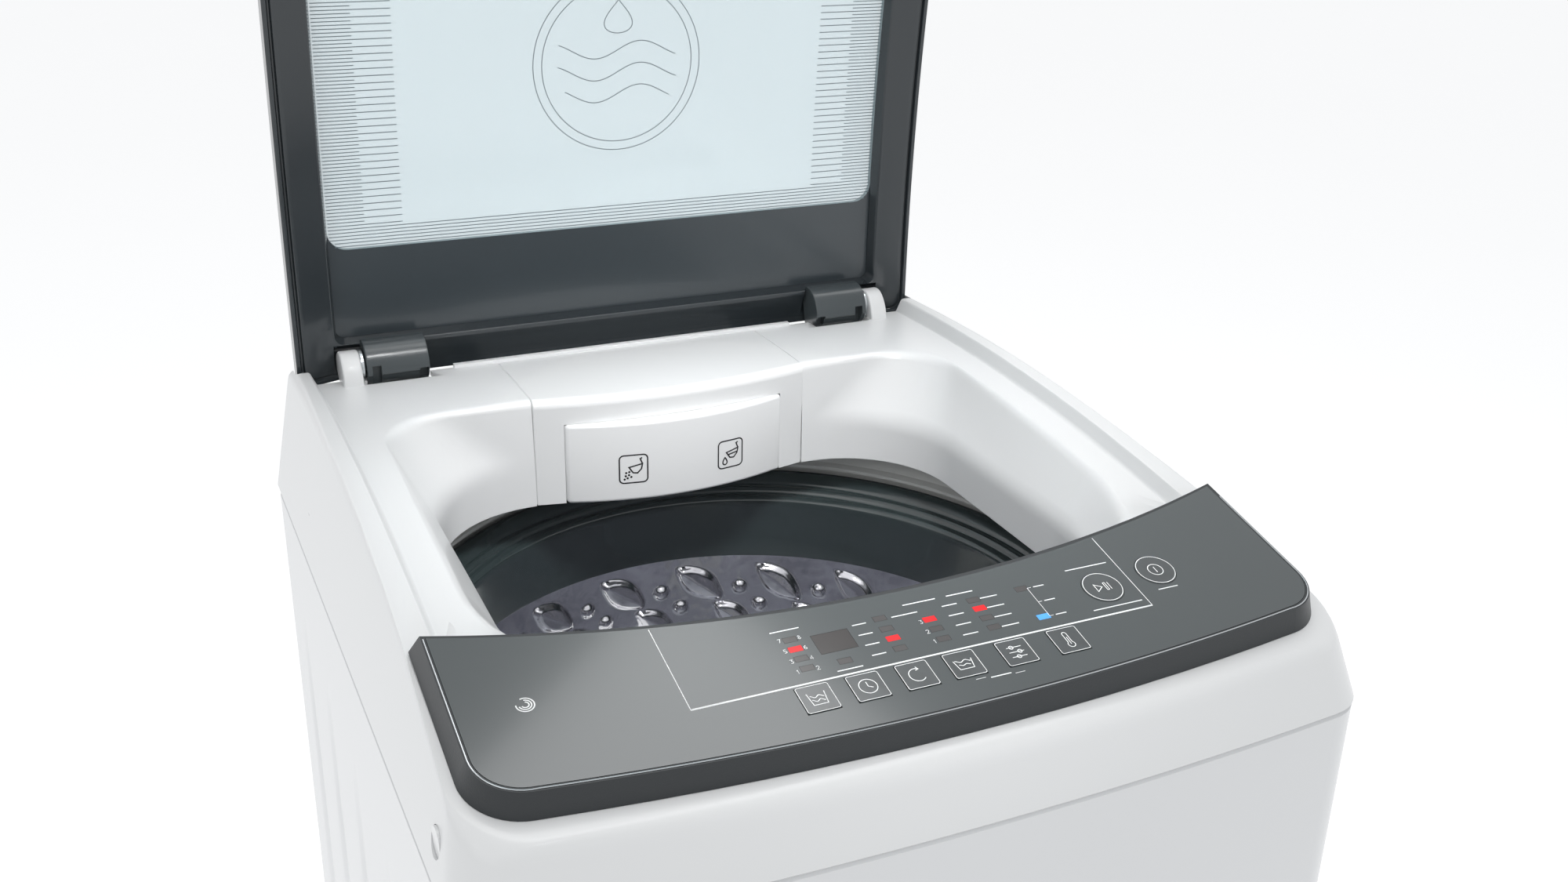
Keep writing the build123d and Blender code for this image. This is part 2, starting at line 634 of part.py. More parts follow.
def make_dispenser():
    top_band = HOUSING_TOP_Z - DRAWER_TOP_Z - 0.6
    with BuildPart() as dispenser_housing:
        with BuildSketch(Plane.XY.offset(SKIRT_Z)):
            with Locations((0, (MOUTH_REAR_Y - 3 + HOUSING_REAR_Y) / 2)):
                Rectangle(2 * HOUSING_HALF_W, HOUSING_REAR_Y - MOUTH_REAR_Y + 3)
        extrude(amount=HOUSING_TOP_Z - SKIRT_Z)
        with BuildSketch(Plane.XY.offset(DRAWER_TOP_Z + 0.6)):
            add(bowed_front(HOUSING_HALF_W, MOUTH_REAR_Y - 3, HOUSING_BOW, MOUTH_REAR_Y))
        extrude(amount=top_band)
        with Locations((0, (150 + HOUSING_REAR_Y - 3) / 2, (SKIRT_Z + 2.4 + DRAWER_TOP_Z + 0.6) / 2)):
            Box(2 * DRAWER_HALF_W + 1.2, HOUSING_REAR_Y - 3 - 150, DRAWER_TOP_Z - SKIRT_Z - 1.8, mode=Mode.SUBTRACT)
        with Locations((0, 214, HOUSING_TOP_Z - 11)):
            Box(150, 70, 12, mode=Mode.SUBTRACT)
    save(dispenser_housing.part, "dispenser_housing")

    tray_low = DRAWER_Z + 3.0
    tray_high = DRAWER_TOP_Z - 8.0
    tray_mid_y = (DRAWER_FRONT_Y + 3 + DRAWER_REAR_Y) / 2
    tray_len = DRAWER_REAR_Y - DRAWER_FRONT_Y - 3
    with BuildPart() as dispenser_drawer:
        with BuildSketch(Plane.XY.offset(DRAWER_Z)):
            add(bowed_front(DRAWER_HALF_W, DRAWER_FRONT_Y, DRAWER_BOW, DRAWER_FRONT_Y + 4))
        extrude(amount=DRAWER_TOP_Z - DRAWER_Z)
        with Locations((0, tray_mid_y, (tray_low + tray_high) / 2)):
            Box(2 * DRAWER_HALF_W - 3, tray_len, tray_high - tray_low)
        for x, w in ((-40, 76), (42, 72)):
            with Locations((x, tray_mid_y + 1, (tray_low + tray_high) / 2 + 2.2)):
                Box(w, tray_len - 7, tray_high - tray_low, mode=Mode.SUBTRACT)
    save(dispenser_drawer.part, "dispenser_drawer")

    with BuildPart() as siphon_cap:
        with Locations((42, 222, tray_low + 2.6)):
            Cylinder(11, 26, align=(Align.CENTER, Align.CENTER, Align.MIN))
            Cylinder(14, 2, align=(Align.CENTER, Align.CENTER, Align.MIN))
    save(siphon_cap.part, "siphon_cap")

    with BuildPart() as water_inlet_valve:
        with Locations((INLET_X, 245, INLET_Z)):
            Box(44, 34, 34)
        with Locations((INLET_X, 262, INLET_Z)):
            Cylinder(13.2, 40, rotation=(90, 0, 0))
            Cylinder(5, 60, rotation=(90, 0, 0), mode=Mode.SUBTRACT)
        with Locations((INLET_X + 26, 238, INLET_Z)):
            Cylinder(6, 10, rotation=(0, 90, 0))
    save(water_inlet_valve.part, "water_inlet_valve")

    with BuildPart() as inlet_hose:
        with Locations((INLET_X + 36.5, 238, INLET_Z)):
            Cylinder(8.5, 13, rotation=(0, 90, 0))
            Cylinder(6.1, 20, rotation=(0, 90, 0), mode=Mode.SUBTRACT)
    save(inlet_hose.part, "inlet_hose")


# ================================================================ the tub
def turned(*points):
    """Solid of revolution about the tub's axis from (radius, z) points."""
    with BuildPart() as solid:
        with BuildSketch(Plane(origin=(0, TUB_Y, 0), x_dir=(1, 0, 0), z_dir=(0, -1, 0))):
            with BuildLine():
                Polyline(*points, close=True)
            make_face()
        revolve(axis=Axis((0, TUB_Y, 0), (0, 0, 1)))
    return solid.part


def rod_places(z):
    """The four suspension corners at one height."""
    return [(sx * ROD_X, TUB_Y + sy * ROD_X, z) for sx in (1, -1) for sy in (1, -1)]


def belt_loop(extra):
    """Plan area inside an open belt run around both pulleys, grown by extra."""
    span = TUB_Y - MOTOR_Y
    lean = acos((PULLEY_R - MOTOR_PULLEY_R) / span)
    big = PULLEY_R + extra
    small = MOTOR_PULLEY_R + extra
    with BuildSketch() as loop:
        with BuildLine():
            Polyline((big * sin(lean), TUB_Y - big * cos(lean)), (small * sin(lean), MOTOR_Y - small * cos(lean)),
                     (-small * sin(lean), MOTOR_Y - small * cos(lean)), (-big * sin(lean), TUB_Y - big * cos(lean)),
                     close=True)
        make_face()
        with Locations((0, TUB_Y)):
            Circle(big)
        with Locations((0, MOTOR_Y)):
            Circle(small)
    return loop.sketch


def make_tub():
    r_out = TUB_R + TUB_WALL
    with BuildPart() as outer_tub:
        add(turned((40, TUB_Z), (r_out - 14, TUB_Z), (r_out, TUB_Z + 14), (r_out, TUB_TOP), (TUB_R, TUB_TOP),
                   (TUB_R, TUB_Z + 16), (TUB_R - 12, TUB_Z + 4), (40, TUB_Z + 4)))
        with Locations((VALVE_X, TUB_Y, TUB_Z)):
            Cylinder(20, 20, mode=Mode.SUBTRACT)
    save(outer_tub.part, "outer_tub")

    with BuildPart() as tub_cover:
        add(turned((COVER_INNER_R, 803.5), (COVER_INNER_R, 806), (238, 808), (243, 817), (r_out + 3, 817),
                   (r_out + 3, 786), (r_out + GAP, 786), (r_out + GAP, TUB_TOP + GAP), (240, TUB_TOP + GAP),
                   (240, 803.5)))
    save(tub_cover.part, "tub_cover")

    with BuildPart() as tub_bracket:
        with BuildSketch(Plane.XY.offset(ARM_Z)):
            with Locations((0, TUB_Y)):
                Circle(110)
                for angle in (45, 135):
                    Rectangle(2 * ROD_X * sqrt(2), 46, rotation=angle)
            with Locations(*[(x, y) for x, y, _ in rod_places(0)]):
                Circle(24)
            with Locations((0, MOTOR_Y + 10)):
                Rectangle(126, 130)
            with Locations(*[(x, y) for x, y, _ in rod_places(0)]):
                Circle(ROD_R + 3, mode=Mode.SUBTRACT)
            with Locations((0, TUB_Y)):
                Circle(GEARCASE_R + 1, mode=Mode.SUBTRACT)
            with Locations((0, MOTOR_Y)):
                Circle(30, mode=Mode.SUBTRACT)
        extrude(amount=TUB_Z - ARM_Z - GAP)
    save(tub_bracket.part, "tub_bracket")

    cup_low = 232.0
    with BuildPart() as damper_cups:
        with Locations(*rod_places(cup_low)):
            Cylinder(18, ARM_Z - cup_low - GAP, align=(Align.CENTER, Align.CENTER, Align.MIN))
        with Locations(*rod_places(cup_low - 1)):
            Cylinder(15.5, ARM_Z - cup_low - 3, align=(Align.CENTER, Align.CENTER, Align.MIN), mode=Mode.SUBTRACT)
        with Locations(*rod_places(cup_low)):
            Cylinder(ROD_R + 2, 80, align=(Align.CENTER, Align.CENTER, Align.MIN), mode=Mode.SUBTRACT)
    save(damper_cups.part, "damper_cups")

    with BuildPart() as suspension_rods:
        with Locations(*rod_places(ROD_LOW)):
            Cylinder(ROD_R, ROD_TOP - ROD_LOW, align=(Align.CENTER, Align.CENTER, Align.MIN))
            Cylinder(13, ROD_HEAD_T, align=(Align.CENTER, Align.CENTER, Align.MIN))
        with Locations(*rod_places(ROD_TOP)):
            Sphere(9)
    save(suspension_rods.part, "suspension_rods")

    with BuildPart() as suspension_springs:
        spring_low = ROD_LOW + ROD_HEAD_T + GAP
        spring_h = ARM_Z - 4 - GAP - spring_low
        with Locations(*rod_places(spring_low)):
            Cylinder(12.5, spring_h, align=(Align.CENTER, Align.CENTER, Align.MIN))
            Cylinder(ROD_R + 1, spring_h, align=(Align.CENTER, Align.CENTER, Align.MIN), mode=Mode.SUBTRACT)
    save(suspension_springs.part, "suspension_springs")

    with BuildPart() as suspension_brackets:
        for x, y, _ in rod_places(0):
            reach_x = HALF_W - 2.2 - abs(x) + 14
            sx = 1 if x > 0 else -1
            with Locations((sx * (HALF_W - 2.2 - reach_x / 2), y, ROD_TOP - 10)):
                Box(reach_x, 36, 4)
            with Locations((sx * (HALF_W - 3.4), y, ROD_TOP - 26)):
                Box(2.4, 36, 36)
            with Locations((x, y, ROD_TOP - 10)):
                Cylinder(ROD_R + 0.4, 20, mode=Mode.SUBTRACT)
            with Locations((x, y, ROD_TOP)):
                Sphere(9.3, mode=Mode.SUBTRACT)
    save(suspension_brackets.part, "suspension_brackets")

    with BuildPart() as gearcase:
        bore = SPIN_R + RUN
        add(turned((bore, 205), (GEARCASE_R, 205), (GEARCASE_R, TUB_Z - GAP), (39.7, TUB_Z - GAP),
                   (39.7, TUB_Z + 6), (bore, TUB_Z + 6)))
    save(gearcase.part, "gearcase")

    with BuildPart() as drive_motor:
        with Locations((0, MOTOR_Y, 205)):
            Cylinder(58, ARM_Z - 205 - GAP, align=(Align.CENTER, Align.CENTER, Align.MIN))
        with Locations((0, MOTOR_Y, 150)):
            Cylinder(SHAFT_R + RUN, 300, align=(Align.CENTER, Align.CENTER, Align.MIN), mode=Mode.SUBTRACT)
    save(drive_motor.part, "drive_motor")

    with BuildPart() as motor_pulley:
        with Locations((0, MOTOR_Y, PULLEY_Z)):
            Cylinder(MOTOR_PULLEY_R, PULLEY_H, align=(Align.CENTER, Align.CENTER, Align.MIN))
            Cylinder(SHAFT_R, 100, align=(Align.CENTER, Align.CENTER, Align.MIN))
    save(motor_pulley.part, "motor_pulley")

    with BuildPart() as drive_belt:
        with BuildSketch(Plane.XY.offset(PULLEY_Z + 3)):
            add(belt_loop(RUN + BELT_T))
        extrude(amount=PULLEY_H - 6)
        with BuildSketch(Plane.XY.offset(PULLEY_Z + 2)):
            add(belt_loop(RUN))
        extrude(amount=PULLEY_H, mode=Mode.SUBTRACT)
    save(drive_belt.part, "drive_belt")

    with BuildPart() as drain_valve:
        with Locations((VALVE_X, TUB_Y, 250)):
            Cylinder(26, TUB_Z - 250 - GAP, align=(Align.CENTER, Align.CENTER, Align.MIN))
        with Locations((VALVE_X, TUB_Y, 200)):
            Cylinder(14, 60, align=(Align.CENTER, Align.CENTER, Align.MIN))
        with Locations((VALVE_X, TUB_Y, 190)):
            Cylinder(11, 90, align=(Align.CENTER, Align.CENTER, Align.MIN), mode=Mode.SUBTRACT)
        with Locations((VALVE_X - 40, TUB_Y, 266)):
            Box(50, 40, 24)
    save(drain_valve.part, "drain_valve")

    # the hose slides over the valve's outlet as the tub bobs, bends under the tub, and ends at the spigot
    hose_top = 232.0
    with BuildPart() as drain_hose:
        with BuildLine():
            FilletPolyline((VALVE_X, TUB_Y, hose_top), (VALVE_X, TUB_Y, 96), (30, 110, 50),
                           (DRAIN_X, 150, DRAIN_Z), (DRAIN_X, REAR_Y - 34, DRAIN_Z), radius=40)
        with BuildSketch(Plane(origin=(VALVE_X, TUB_Y, hose_top), z_dir=(0, 0, -1))):
            Circle(17.5)
            Circle(14.6, mode=Mode.SUBTRACT)
        sweep()
    save(drain_hose.part, "drain_hose")


def make_basket():
    with BuildPart() as balance_ring:
        add(turned((216, 731), (211, 781), (212, 784), (217, 786.5), (219, 790), (223, 791.5), (229, 797),
                   (233, 800), (RING_R, 798), (RING_R, 748), (217.6, 748), (217.6, 731)))
    save(balance_ring.part, "balance_ring")

    r_out = BASKET_R + BASKET_T
    with BuildPart() as basket_wall:
        add(turned((BASKET_R, BASKET_Z), (r_out, BASKET_Z), (r_out, BASKET_TOP), (BASKET_R, BASKET_TOP)))
    save(basket_wall.part, "basket_wall")

    with BuildPart() as basket_base:
        add(turned((SPIN_R + 0.4, BASKET_Z - 4), (60, BASKET_Z - 4), (80, BASKET_Z + 2),
                   (BASKET_R - GAP, BASKET_Z + 2), (BASKET_R - GAP, BASE_PLATE_Z + 14),
                   (BASKET_R - 6, BASE_PLATE_Z + 8), (PULSATOR_R + 8, BASE_PLATE_Z + 4),
                   (PULSATOR_R - 10, BASE_PLATE_Z - 6), (40, BASE_PLATE_Z - 6), (SPIN_R + 0.4, BASE_PLATE_Z - 6)))
    save(basket_base.part, "basket_base")

    with BuildPart() as lint_filters:
        for angle in (100, 280):
            with Locations(Location((0, TUB_Y, 0), (0, 0, angle))):
                with Locations((BASKET_R - 9, 0, 560)):
                    Box(16, 84, 210)
        with Locations((0, TUB_Y, 560)):
            Cylinder(BASKET_R - GAP, 300, mode=Mode.INTERSECT)
    save(lint_filters.part, "lint_filters")

    with BuildPart() as spin_shaft:
        with Locations((0, TUB_Y, 200)):
            Cylinder(SPIN_R, BASE_PLATE_Z - 8 - 200, align=(Align.CENTER, Align.CENTER, Align.MIN))
            Cylinder(SHAFT_R + RUN, 200, align=(Align.CENTER, Align.CENTER, Align.MIN), mode=Mode.SUBTRACT)
    save(spin_shaft.part, "spin_shaft")

    hub_top = PULSATOR_Z + 34
    with BuildPart() as pulsator:
        add(turned((SHAFT_R + 0.1, PULSATOR_Z - 16), (30, PULSATOR_Z - 16), (36, PULSATOR_Z - 6),
                   (PULSATOR_R - 16, PULSATOR_Z - 8), (PULSATOR_R, PULSATOR_Z), (PULSATOR_R, PULSATOR_Z + 4),
                   (110, PULSATOR_Z + 3), (60, PULSATOR_Z + 10), (34, hub_top), (24, hub_top),
                   (24, hub_top - 6), (SHAFT_R + 0.1, hub_top - 6)))
        for i in range(4):
            with BuildSketch(Plane(origin=(0, TUB_Y, PULSATOR_Z), z_dir=(0, 0, 1))):
                with Locations(Location((0, 0, 0), (0, 0, 90 * i))):
                    with Locations((92, 0)):
                        Rectangle(118, 26)
            extrude(amount=22, taper=14)
    save(pulsator.part, "pulsator")

    with BuildPart() as pulsator_cap:
        with Locations((0, TUB_Y, hub_top - 5.5)):
            Cylinder(23.6, 8, align=(Align.CENTER, Align.CENTER, Align.MIN))
    save(pulsator_cap.part, "pulsator_cap")

    with BuildPart() as pulsator_shaft:
        with Locations((0, TUB_Y, PULLEY_Z - 4)):
            Cylinder(SHAFT_R, hub_top - 8 - PULLEY_Z + 4, align=(Align.CENTER, Align.CENTER, Align.MIN))
    save(pulsator_shaft.part, "pulsator_shaft")

    with BuildPart() as drive_pulley:
        with Locations((0, TUB_Y, PULLEY_Z)):
            Cylinder(PULLEY_R, PULLEY_H, align=(Align.CENTER, Align.CENTER, Align.MIN))
        with Locations((0, TUB_Y, PULLEY_Z + 4)):
            Cylinder(PULLEY_R - 8, PULLEY_H, align=(Align.CENTER, Align.CENTER, Align.MIN), mode=Mode.SUBTRACT)
        with Locations((0, TUB_Y, PULLEY_Z)):
            Cylinder(20, PULLEY_H, align=(Align.CENTER, Align.CENTER, Align.MIN))
            Cylinder(SHAFT_R + 0.1, 60, align=(Align.CENTER, Align.CENTER, Align.MIN), mode=Mode.SUBTRACT)
    save(drive_pulley.part, "drive_pulley")


def make_electrics():
    with BuildPart() as pressure_sensor:
        with Locations((190, 205, 870)):
            Cylinder(18, 24)
        with Locations((190, 205, 855)):
            Cylinder(3, 12)
    save(pressure_sensor.part, "pressure_sensor")

    with BuildPart() as lid_switch:
        with Locations((229, 246, 880)):
            Box(14, 20, 34)
    save(lid_switch.part, "lid_switch")


make_cabinet()
make_base()
make_top_cover()
make_panel()
make_lid()
make_dispenser()
make_tub()
make_basket()
make_electrics()
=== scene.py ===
import bmesh
import bpy
from math import cos, pi, radians, sin, sqrt, tan
from mathutils import Matrix, Vector


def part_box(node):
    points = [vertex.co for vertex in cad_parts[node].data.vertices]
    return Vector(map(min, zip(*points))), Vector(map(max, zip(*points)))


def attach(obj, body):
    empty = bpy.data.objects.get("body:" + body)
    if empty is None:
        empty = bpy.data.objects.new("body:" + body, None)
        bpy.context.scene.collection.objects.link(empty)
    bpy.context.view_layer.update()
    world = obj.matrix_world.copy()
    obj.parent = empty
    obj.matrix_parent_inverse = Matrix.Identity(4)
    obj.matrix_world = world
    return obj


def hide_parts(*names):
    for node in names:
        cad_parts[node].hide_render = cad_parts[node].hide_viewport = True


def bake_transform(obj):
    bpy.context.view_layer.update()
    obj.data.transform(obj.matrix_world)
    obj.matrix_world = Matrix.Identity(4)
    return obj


# Top loading washing machine with its lid open.
# Lengths below are millimetres; MM turns them into the frame's metres.

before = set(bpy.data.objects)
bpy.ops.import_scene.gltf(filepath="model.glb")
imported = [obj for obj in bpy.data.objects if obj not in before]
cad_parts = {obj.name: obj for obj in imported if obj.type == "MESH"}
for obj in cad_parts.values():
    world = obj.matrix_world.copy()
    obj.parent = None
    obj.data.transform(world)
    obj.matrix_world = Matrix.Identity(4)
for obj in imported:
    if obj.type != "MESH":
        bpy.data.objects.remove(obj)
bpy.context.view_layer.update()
MM = 0.001


def node_box(name):
    """Lowest and highest corner of a CAD node at rest, in millimetres."""
    low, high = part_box(name)
    return [v / MM for v in low], [v / MM for v in high]


# ------------------------------------------------ sizes taken from the frame
COVER_LOW, COVER_HIGH = node_box("top_cover")
WRAP_LOW, WRAP_HIGH = node_box("cabinet_wrap")
HALF_W = COVER_HIGH[0]
SEAM_Z = COVER_LOW[2]
REAR_Y = COVER_HIGH[1]
FRONT_BOW = 13.0
HALF_D = 270.0
CORNER_R = 30.0
WALL = 3.0
RIM_R = 1900.0
RIM_CREST = (165.0, 918.5)
RECESS_DEPTH = 10.0
TAPER_SIDE = 19.0
TAPER_FRONT = 40.0
TAPER_Z = 103.0
LEDGE_Y = 261.0
LEDGE_Z = 884.0
SLOT_HALF_W = 250.5
PANEL_Y = -127.0
PANEL_Z = 910.0
PANEL_TILT = radians(12.7)
BEZEL_H = 14.3
HINGE_Y = 265.0
HINGE_Z = 915.0
LID_LEAN = radians(1.1)
LID_BACK = 2.7
LID_HALF_W = 248.5
LID_END_SIDE = 384.0
LID_END_MID = 418.8
LID_START = -14.0
TUB_Y = 10.0
BASKET_R = 218.2


# ------------------------------------------------------------ mesh helpers
def piece(name, verts, faces, mat, body, smooth_angle=35.0, mats=None, slots=None):
    """New mesh piece from millimetre points; it rides on a CAD body."""
    mesh = bpy.data.meshes.new(name)
    mesh.from_pydata([Vector(v) * MM for v in verts], [], faces)
    mesh.validate()
    tidy = bmesh.new()
    tidy.from_mesh(mesh)
    bmesh.ops.recalc_face_normals(tidy, faces=tidy.faces)
    tidy.to_mesh(mesh)
    tidy.free()
    for m in (mats or [mat]):
        mesh.materials.append(m)
    if slots:
        for polygon, slot in zip(mesh.polygons, slots):
            polygon.material_index = slot
    obj = bpy.data.objects.new(name, mesh)
    bpy.context.scene.collection.objects.link(obj)
    mesh.shade_smooth()
    mesh.set_sharp_from_angle(angle=radians(smooth_angle))
    if body:
        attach(obj, body)
    return obj


def merge(parts):
    """Joins (verts, faces) pairs into one."""
    verts, faces = [], []
    for v, f in parts:
        start = len(verts)
        verts += v
        faces += [[i + start for i in face] for face in f]
    return verts, faces


def skin(loops, around=True, across=False):
    """Quads between successive rows of equal length; around closes each row, across joins last to first."""
    n = len(loops[0])
    verts = [p for loop in loops for p in loop]
    faces = []
    rows = len(loops)
    for r in range(rows if across else rows - 1):
        a, b = r * n, ((r + 1) % rows) * n
        for i in range(n if around else n - 1):
            j = (i + 1) % n
            faces.append([a + i, a + j, b + j, b + i])
    return verts, faces


def cap(faces, row, n, flip=False):
    """Closes one row of a skin with a single polygon."""
    ring = [row * n + i for i in range(n)]
    faces.append(ring[::-1] if flip else ring)


def round_rows(rows, radii, steps=4, closed=False):
    """Rounds the section that runs across the rows: each inner row becomes a small curve."""
    out = []
    last = len(rows) - 1
    for k, row in enumerate(rows):
        if not closed and k in (0, last):
            out.append([Vector(p) for p in row])
            continue
        before, after = rows[k - 1], rows[(k + 1) % len(rows)]
        r = radii[k]
        if callable(r) or r > 0:
            fresh = [[] for _ in range(steps + 1)]
            for p, q, s in zip(row, before, after):
                p, q, s = Vector(p), Vector(q), Vector(s)
                reach = r(p) if callable(r) else r
                a = p + (q - p) * min(0.48, reach / max((q - p).length, 1e-6))
                b = p + (s - p) * min(0.48, reach / max((s - p).length, 1e-6))
                for i in range(steps + 1):
                    t = i / steps
                    fresh[i].append(a * (1 - t) ** 2 + p * 2 * t * (1 - t) + b * t * t)
            out += fresh
        else:
            out.append([Vector(p) for p in row])
    return out


def plan_ring(half_w, rear, front, bow, rear_r, front_r, n_edge=44, n_corner=12, n_side=70):
    """Plan outline as closed (x, y) points, counterclockwise from the front-left corner's end."""
    pts = []

    def corner(cx, cy, r, start):
        for i in range(n_corner + 1):
            a = start + pi / 2 * i / n_corner
            pts.append((cx + r * cos(a), cy + r * sin(a)))

    def edge(p, q, n):
        for i in range(1, n):
            t = i / n
            pts.append((p[0] + (q[0] - p[0]) * t, p[1] + (q[1] - p[1]) * t))

    xf, xr = half_w - front_r, half_w - rear_r
    edge((-xf, front), (xf, front), n_edge)
    corner(xf, front + front_r, front_r, -pi / 2)
    edge((half_w, front + front_r), (half_w, rear - rear_r), n_side)
    corner(xr, rear - rear_r, rear_r, 0)
    edge((xr, rear), (-xr, rear), n_edge)
    corner(-xr, rear - rear_r, rear_r, pi / 2)
    edge((-half_w, rear - rear_r), (-half_w, front + front_r), n_side)
    corner(-xf, front + front_r, front_r, pi)
    return [(x, y - bow * (1 - (x / half_w) ** 2) if y < front + front_r else y) for x, y in pts]


def tube(path, radius, sides=8, closed=False):
    """Round tube along points, with flat ends."""
    path = [Vector(p) for p in path]
    rows = []
    n = len(path)
    up = Vector((0.02, 0.11, 1)).normalized()
    for i, p in enumerate(path):
        a = path[(i - 1) % n] if closed or i else p
        b = path[(i + 1) % n] if closed or i < n - 1 else p
        along = (b - a).normalized()
        side = along.cross(up)
        if side.length < 0.05:
            side = along.cross(Vector((0, 1, 0)))
        side.normalize()
        other = along.cross(side).normalized()
        rows.append([p + (side * cos(2 * pi * k / sides) + other * sin(2 * pi * k / sides)) * radius
                     for k in range(sides)])
    verts, faces = skin(rows, across=closed)
    if not closed:
        cap(faces, 0, sides)
        cap(faces, n - 1, sides, flip=True)
    return verts, faces


def slab(outline, place, low, high, round_r=0.6, steps=3):
    """Solid plate with rounded edges: outline (x, y) points, place(x, y, z) puts them in the frame."""
    centre = Vector((sum(p[0] for p in outline) / len(outline), sum(p[1] for p in outline) / len(outline)))
    n = len(outline)
    normals = []
    for i in range(n):
        a, b = Vector(outline[i - 1]), Vector(outline[(i + 1) % n])
        d = (b - a).normalized()
        normals.append(Vector((d.y, -d.x)))
    area = sum(outline[i - 1][0] * outline[i][1] - outline[i][0] * outline[i - 1][1] for i in range(n))
    turn = 1 if area > 0 else -1
    rows = []
    for i in range(steps + 1):
        a = pi / 2 * i / steps
        inset, z = round_r * (1 - sin(a)), low + round_r * (1 - cos(a))
        rows.append([place(*(Vector(p) - m * turn * inset), z) for p, m in zip(outline, normals)])
    for i in range(steps + 1):
        a = pi / 2 * i / steps
        inset, z = round_r * (1 - cos(a)), high - round_r * (1 - sin(a))
        rows.append([place(*(Vector(p) - m * turn * inset), z) for p, m in zip(outline, normals)])
    verts, faces = skin(rows)
    lowest, highest = len(verts), len(verts) + 1
    verts += [place(*centre, low), place(*centre, high)]
    top = (len(rows) - 1) * n
    for i in range(n):
        j = (i + 1) % n
        faces.append([lowest, j, i])
        faces.append([highest, top + i, top + j])
    if turn < 0:
        faces = [f[::-1] for f in faces]
    return verts, faces


def rounded_box_outline(half_x, half_y, r, n=6):
    """Rounded rectangle about the origin."""
    pts = []
    for cx, cy, start in ((half_x - r, -half_y + r, -pi / 2), (half_x - r, half_y - r, 0),
                          (-half_x + r, half_y - r, pi / 2), (-half_x + r, -half_y + r, pi)):
        for i in range(n + 1):
            a = start + pi / 2 * i / n
            pts.append((cx + r * cos(a), cy + r * sin(a)))
    return pts


def lathe(section, n):
    """Turns (r, z) points about the tub's axis."""
    rows = []
    for r, z in section:
        row = []
        for i in range(n):
            angle = 2 * pi * i / n
            row.append(Vector((r * cos(angle), TUB_Y + r * sin(angle), z)))
        rows.append(row)
    return skin(rows, across=True)


def fillet_section(points, radii, steps=5):
    """Rounds the corners of a closed (r, z) section."""
    out = []
    n = len(points)
    for k in range(n):
        p, q, s = Vector(points[k]), Vector(points[k - 1]), Vector(points[(k + 1) % n])
        r = radii[k] if isinstance(radii, (list, tuple)) else radii
        if r <= 0:
            out.append(tuple(p))
            continue
        a = p + (q - p) * min(0.49, r / (q - p).length)
        b = p + (s - p) * min(0.49, r / (s - p).length)
        for i in range(steps + 1):
            t = i / steps
            out.append(tuple(a * (1 - t) ** 2 + p * 2 * t * (1 - t) + b * t * t))
    return out


# --------------------------------------------------------------- materials
def material(name, color, rough=0.4, metallic=0.0, coat=0.0, vary=0.03, scale=6.0, bump=0.0, bump_scale=900.0,
             rough_vary=0.05, alpha=1.0, emission=0.0, stretch=(1, 1, 1), spec=0.5,
             relief_mm=0.4):
    """Procedural surface: slow colour drift, uneven gloss and a fine bump."""
    mat = bpy.data.materials.new(name)
    mat.use_nodes = True
    nodes, links = mat.node_tree.nodes, mat.node_tree.links
    bsdf = nodes["Principled BSDF"]
    where = nodes.new("ShaderNodeTexCoord")
    mapping = nodes.new("ShaderNodeMapping")
    mapping.inputs["Scale"].default_value = stretch
    links.new(where.outputs["Object"], mapping.inputs["Vector"])
    drift = nodes.new("ShaderNodeTexNoise")
    drift.inputs["Scale"].default_value = scale
    drift.inputs["Detail"].default_value = 4.0
    links.new(mapping.outputs["Vector"], drift.inputs["Vector"])
    ramp = nodes.new("ShaderNodeValToRGB")
    ramp.color_ramp.interpolation = "EASE"
    ramp.color_ramp.elements[0].position = 0.1
    ramp.color_ramp.elements[1].position = 0.9
    ramp.color_ramp.elements[0].color = [c * (1 - vary) for c in color[:3]] + [1]
    ramp.color_ramp.elements[1].color = [min(1, c * (1 + vary)) for c in color[:3]] + [1]
    links.new(drift.outputs["Fac"], ramp.inputs["Fac"])
    links.new(ramp.outputs["Color"], bsdf.inputs["Base Color"])
    spread = nodes.new("ShaderNodeMapRange")
    spread.inputs["To Min"].default_value = max(0.02, rough - rough_vary)
    spread.inputs["To Max"].default_value = rough + rough_vary
    links.new(drift.outputs["Fac"], spread.inputs["Value"])
    links.new(spread.outputs["Result"], bsdf.inputs["Roughness"])
    if bump > 0:
        fine = nodes.new("ShaderNodeTexNoise")
        fine.inputs["Scale"].default_value = bump_scale
        fine.inputs["Detail"].default_value = 3.0
        links.new(mapping.outputs["Vector"], fine.inputs["Vector"])
        relief = nodes.new("ShaderNodeBump")
        relief.inputs["Strength"].default_value = bump
        relief.inputs["Distance"].default_value = relief_mm * MM
        links.new(fine.outputs["Fac"], relief.inputs["Height"])
        links.new(relief.outputs["Normal"], bsdf.inputs["Normal"])
    bsdf.inputs["Metallic"].default_value = metallic
    bsdf.inputs["Coat Weight"].default_value = coat
    bsdf.inputs["Coat Roughness"].default_value = 0.08
    bsdf.inputs["Specular IOR Level"].default_value = spec
    bsdf.inputs["Alpha"].default_value = alpha
    if emission:
        bsdf.inputs["Emission Color"].default_value = list(color[:3]) + [1]
        bsdf.inputs["Emission Strength"].default_value = emission
    return mat


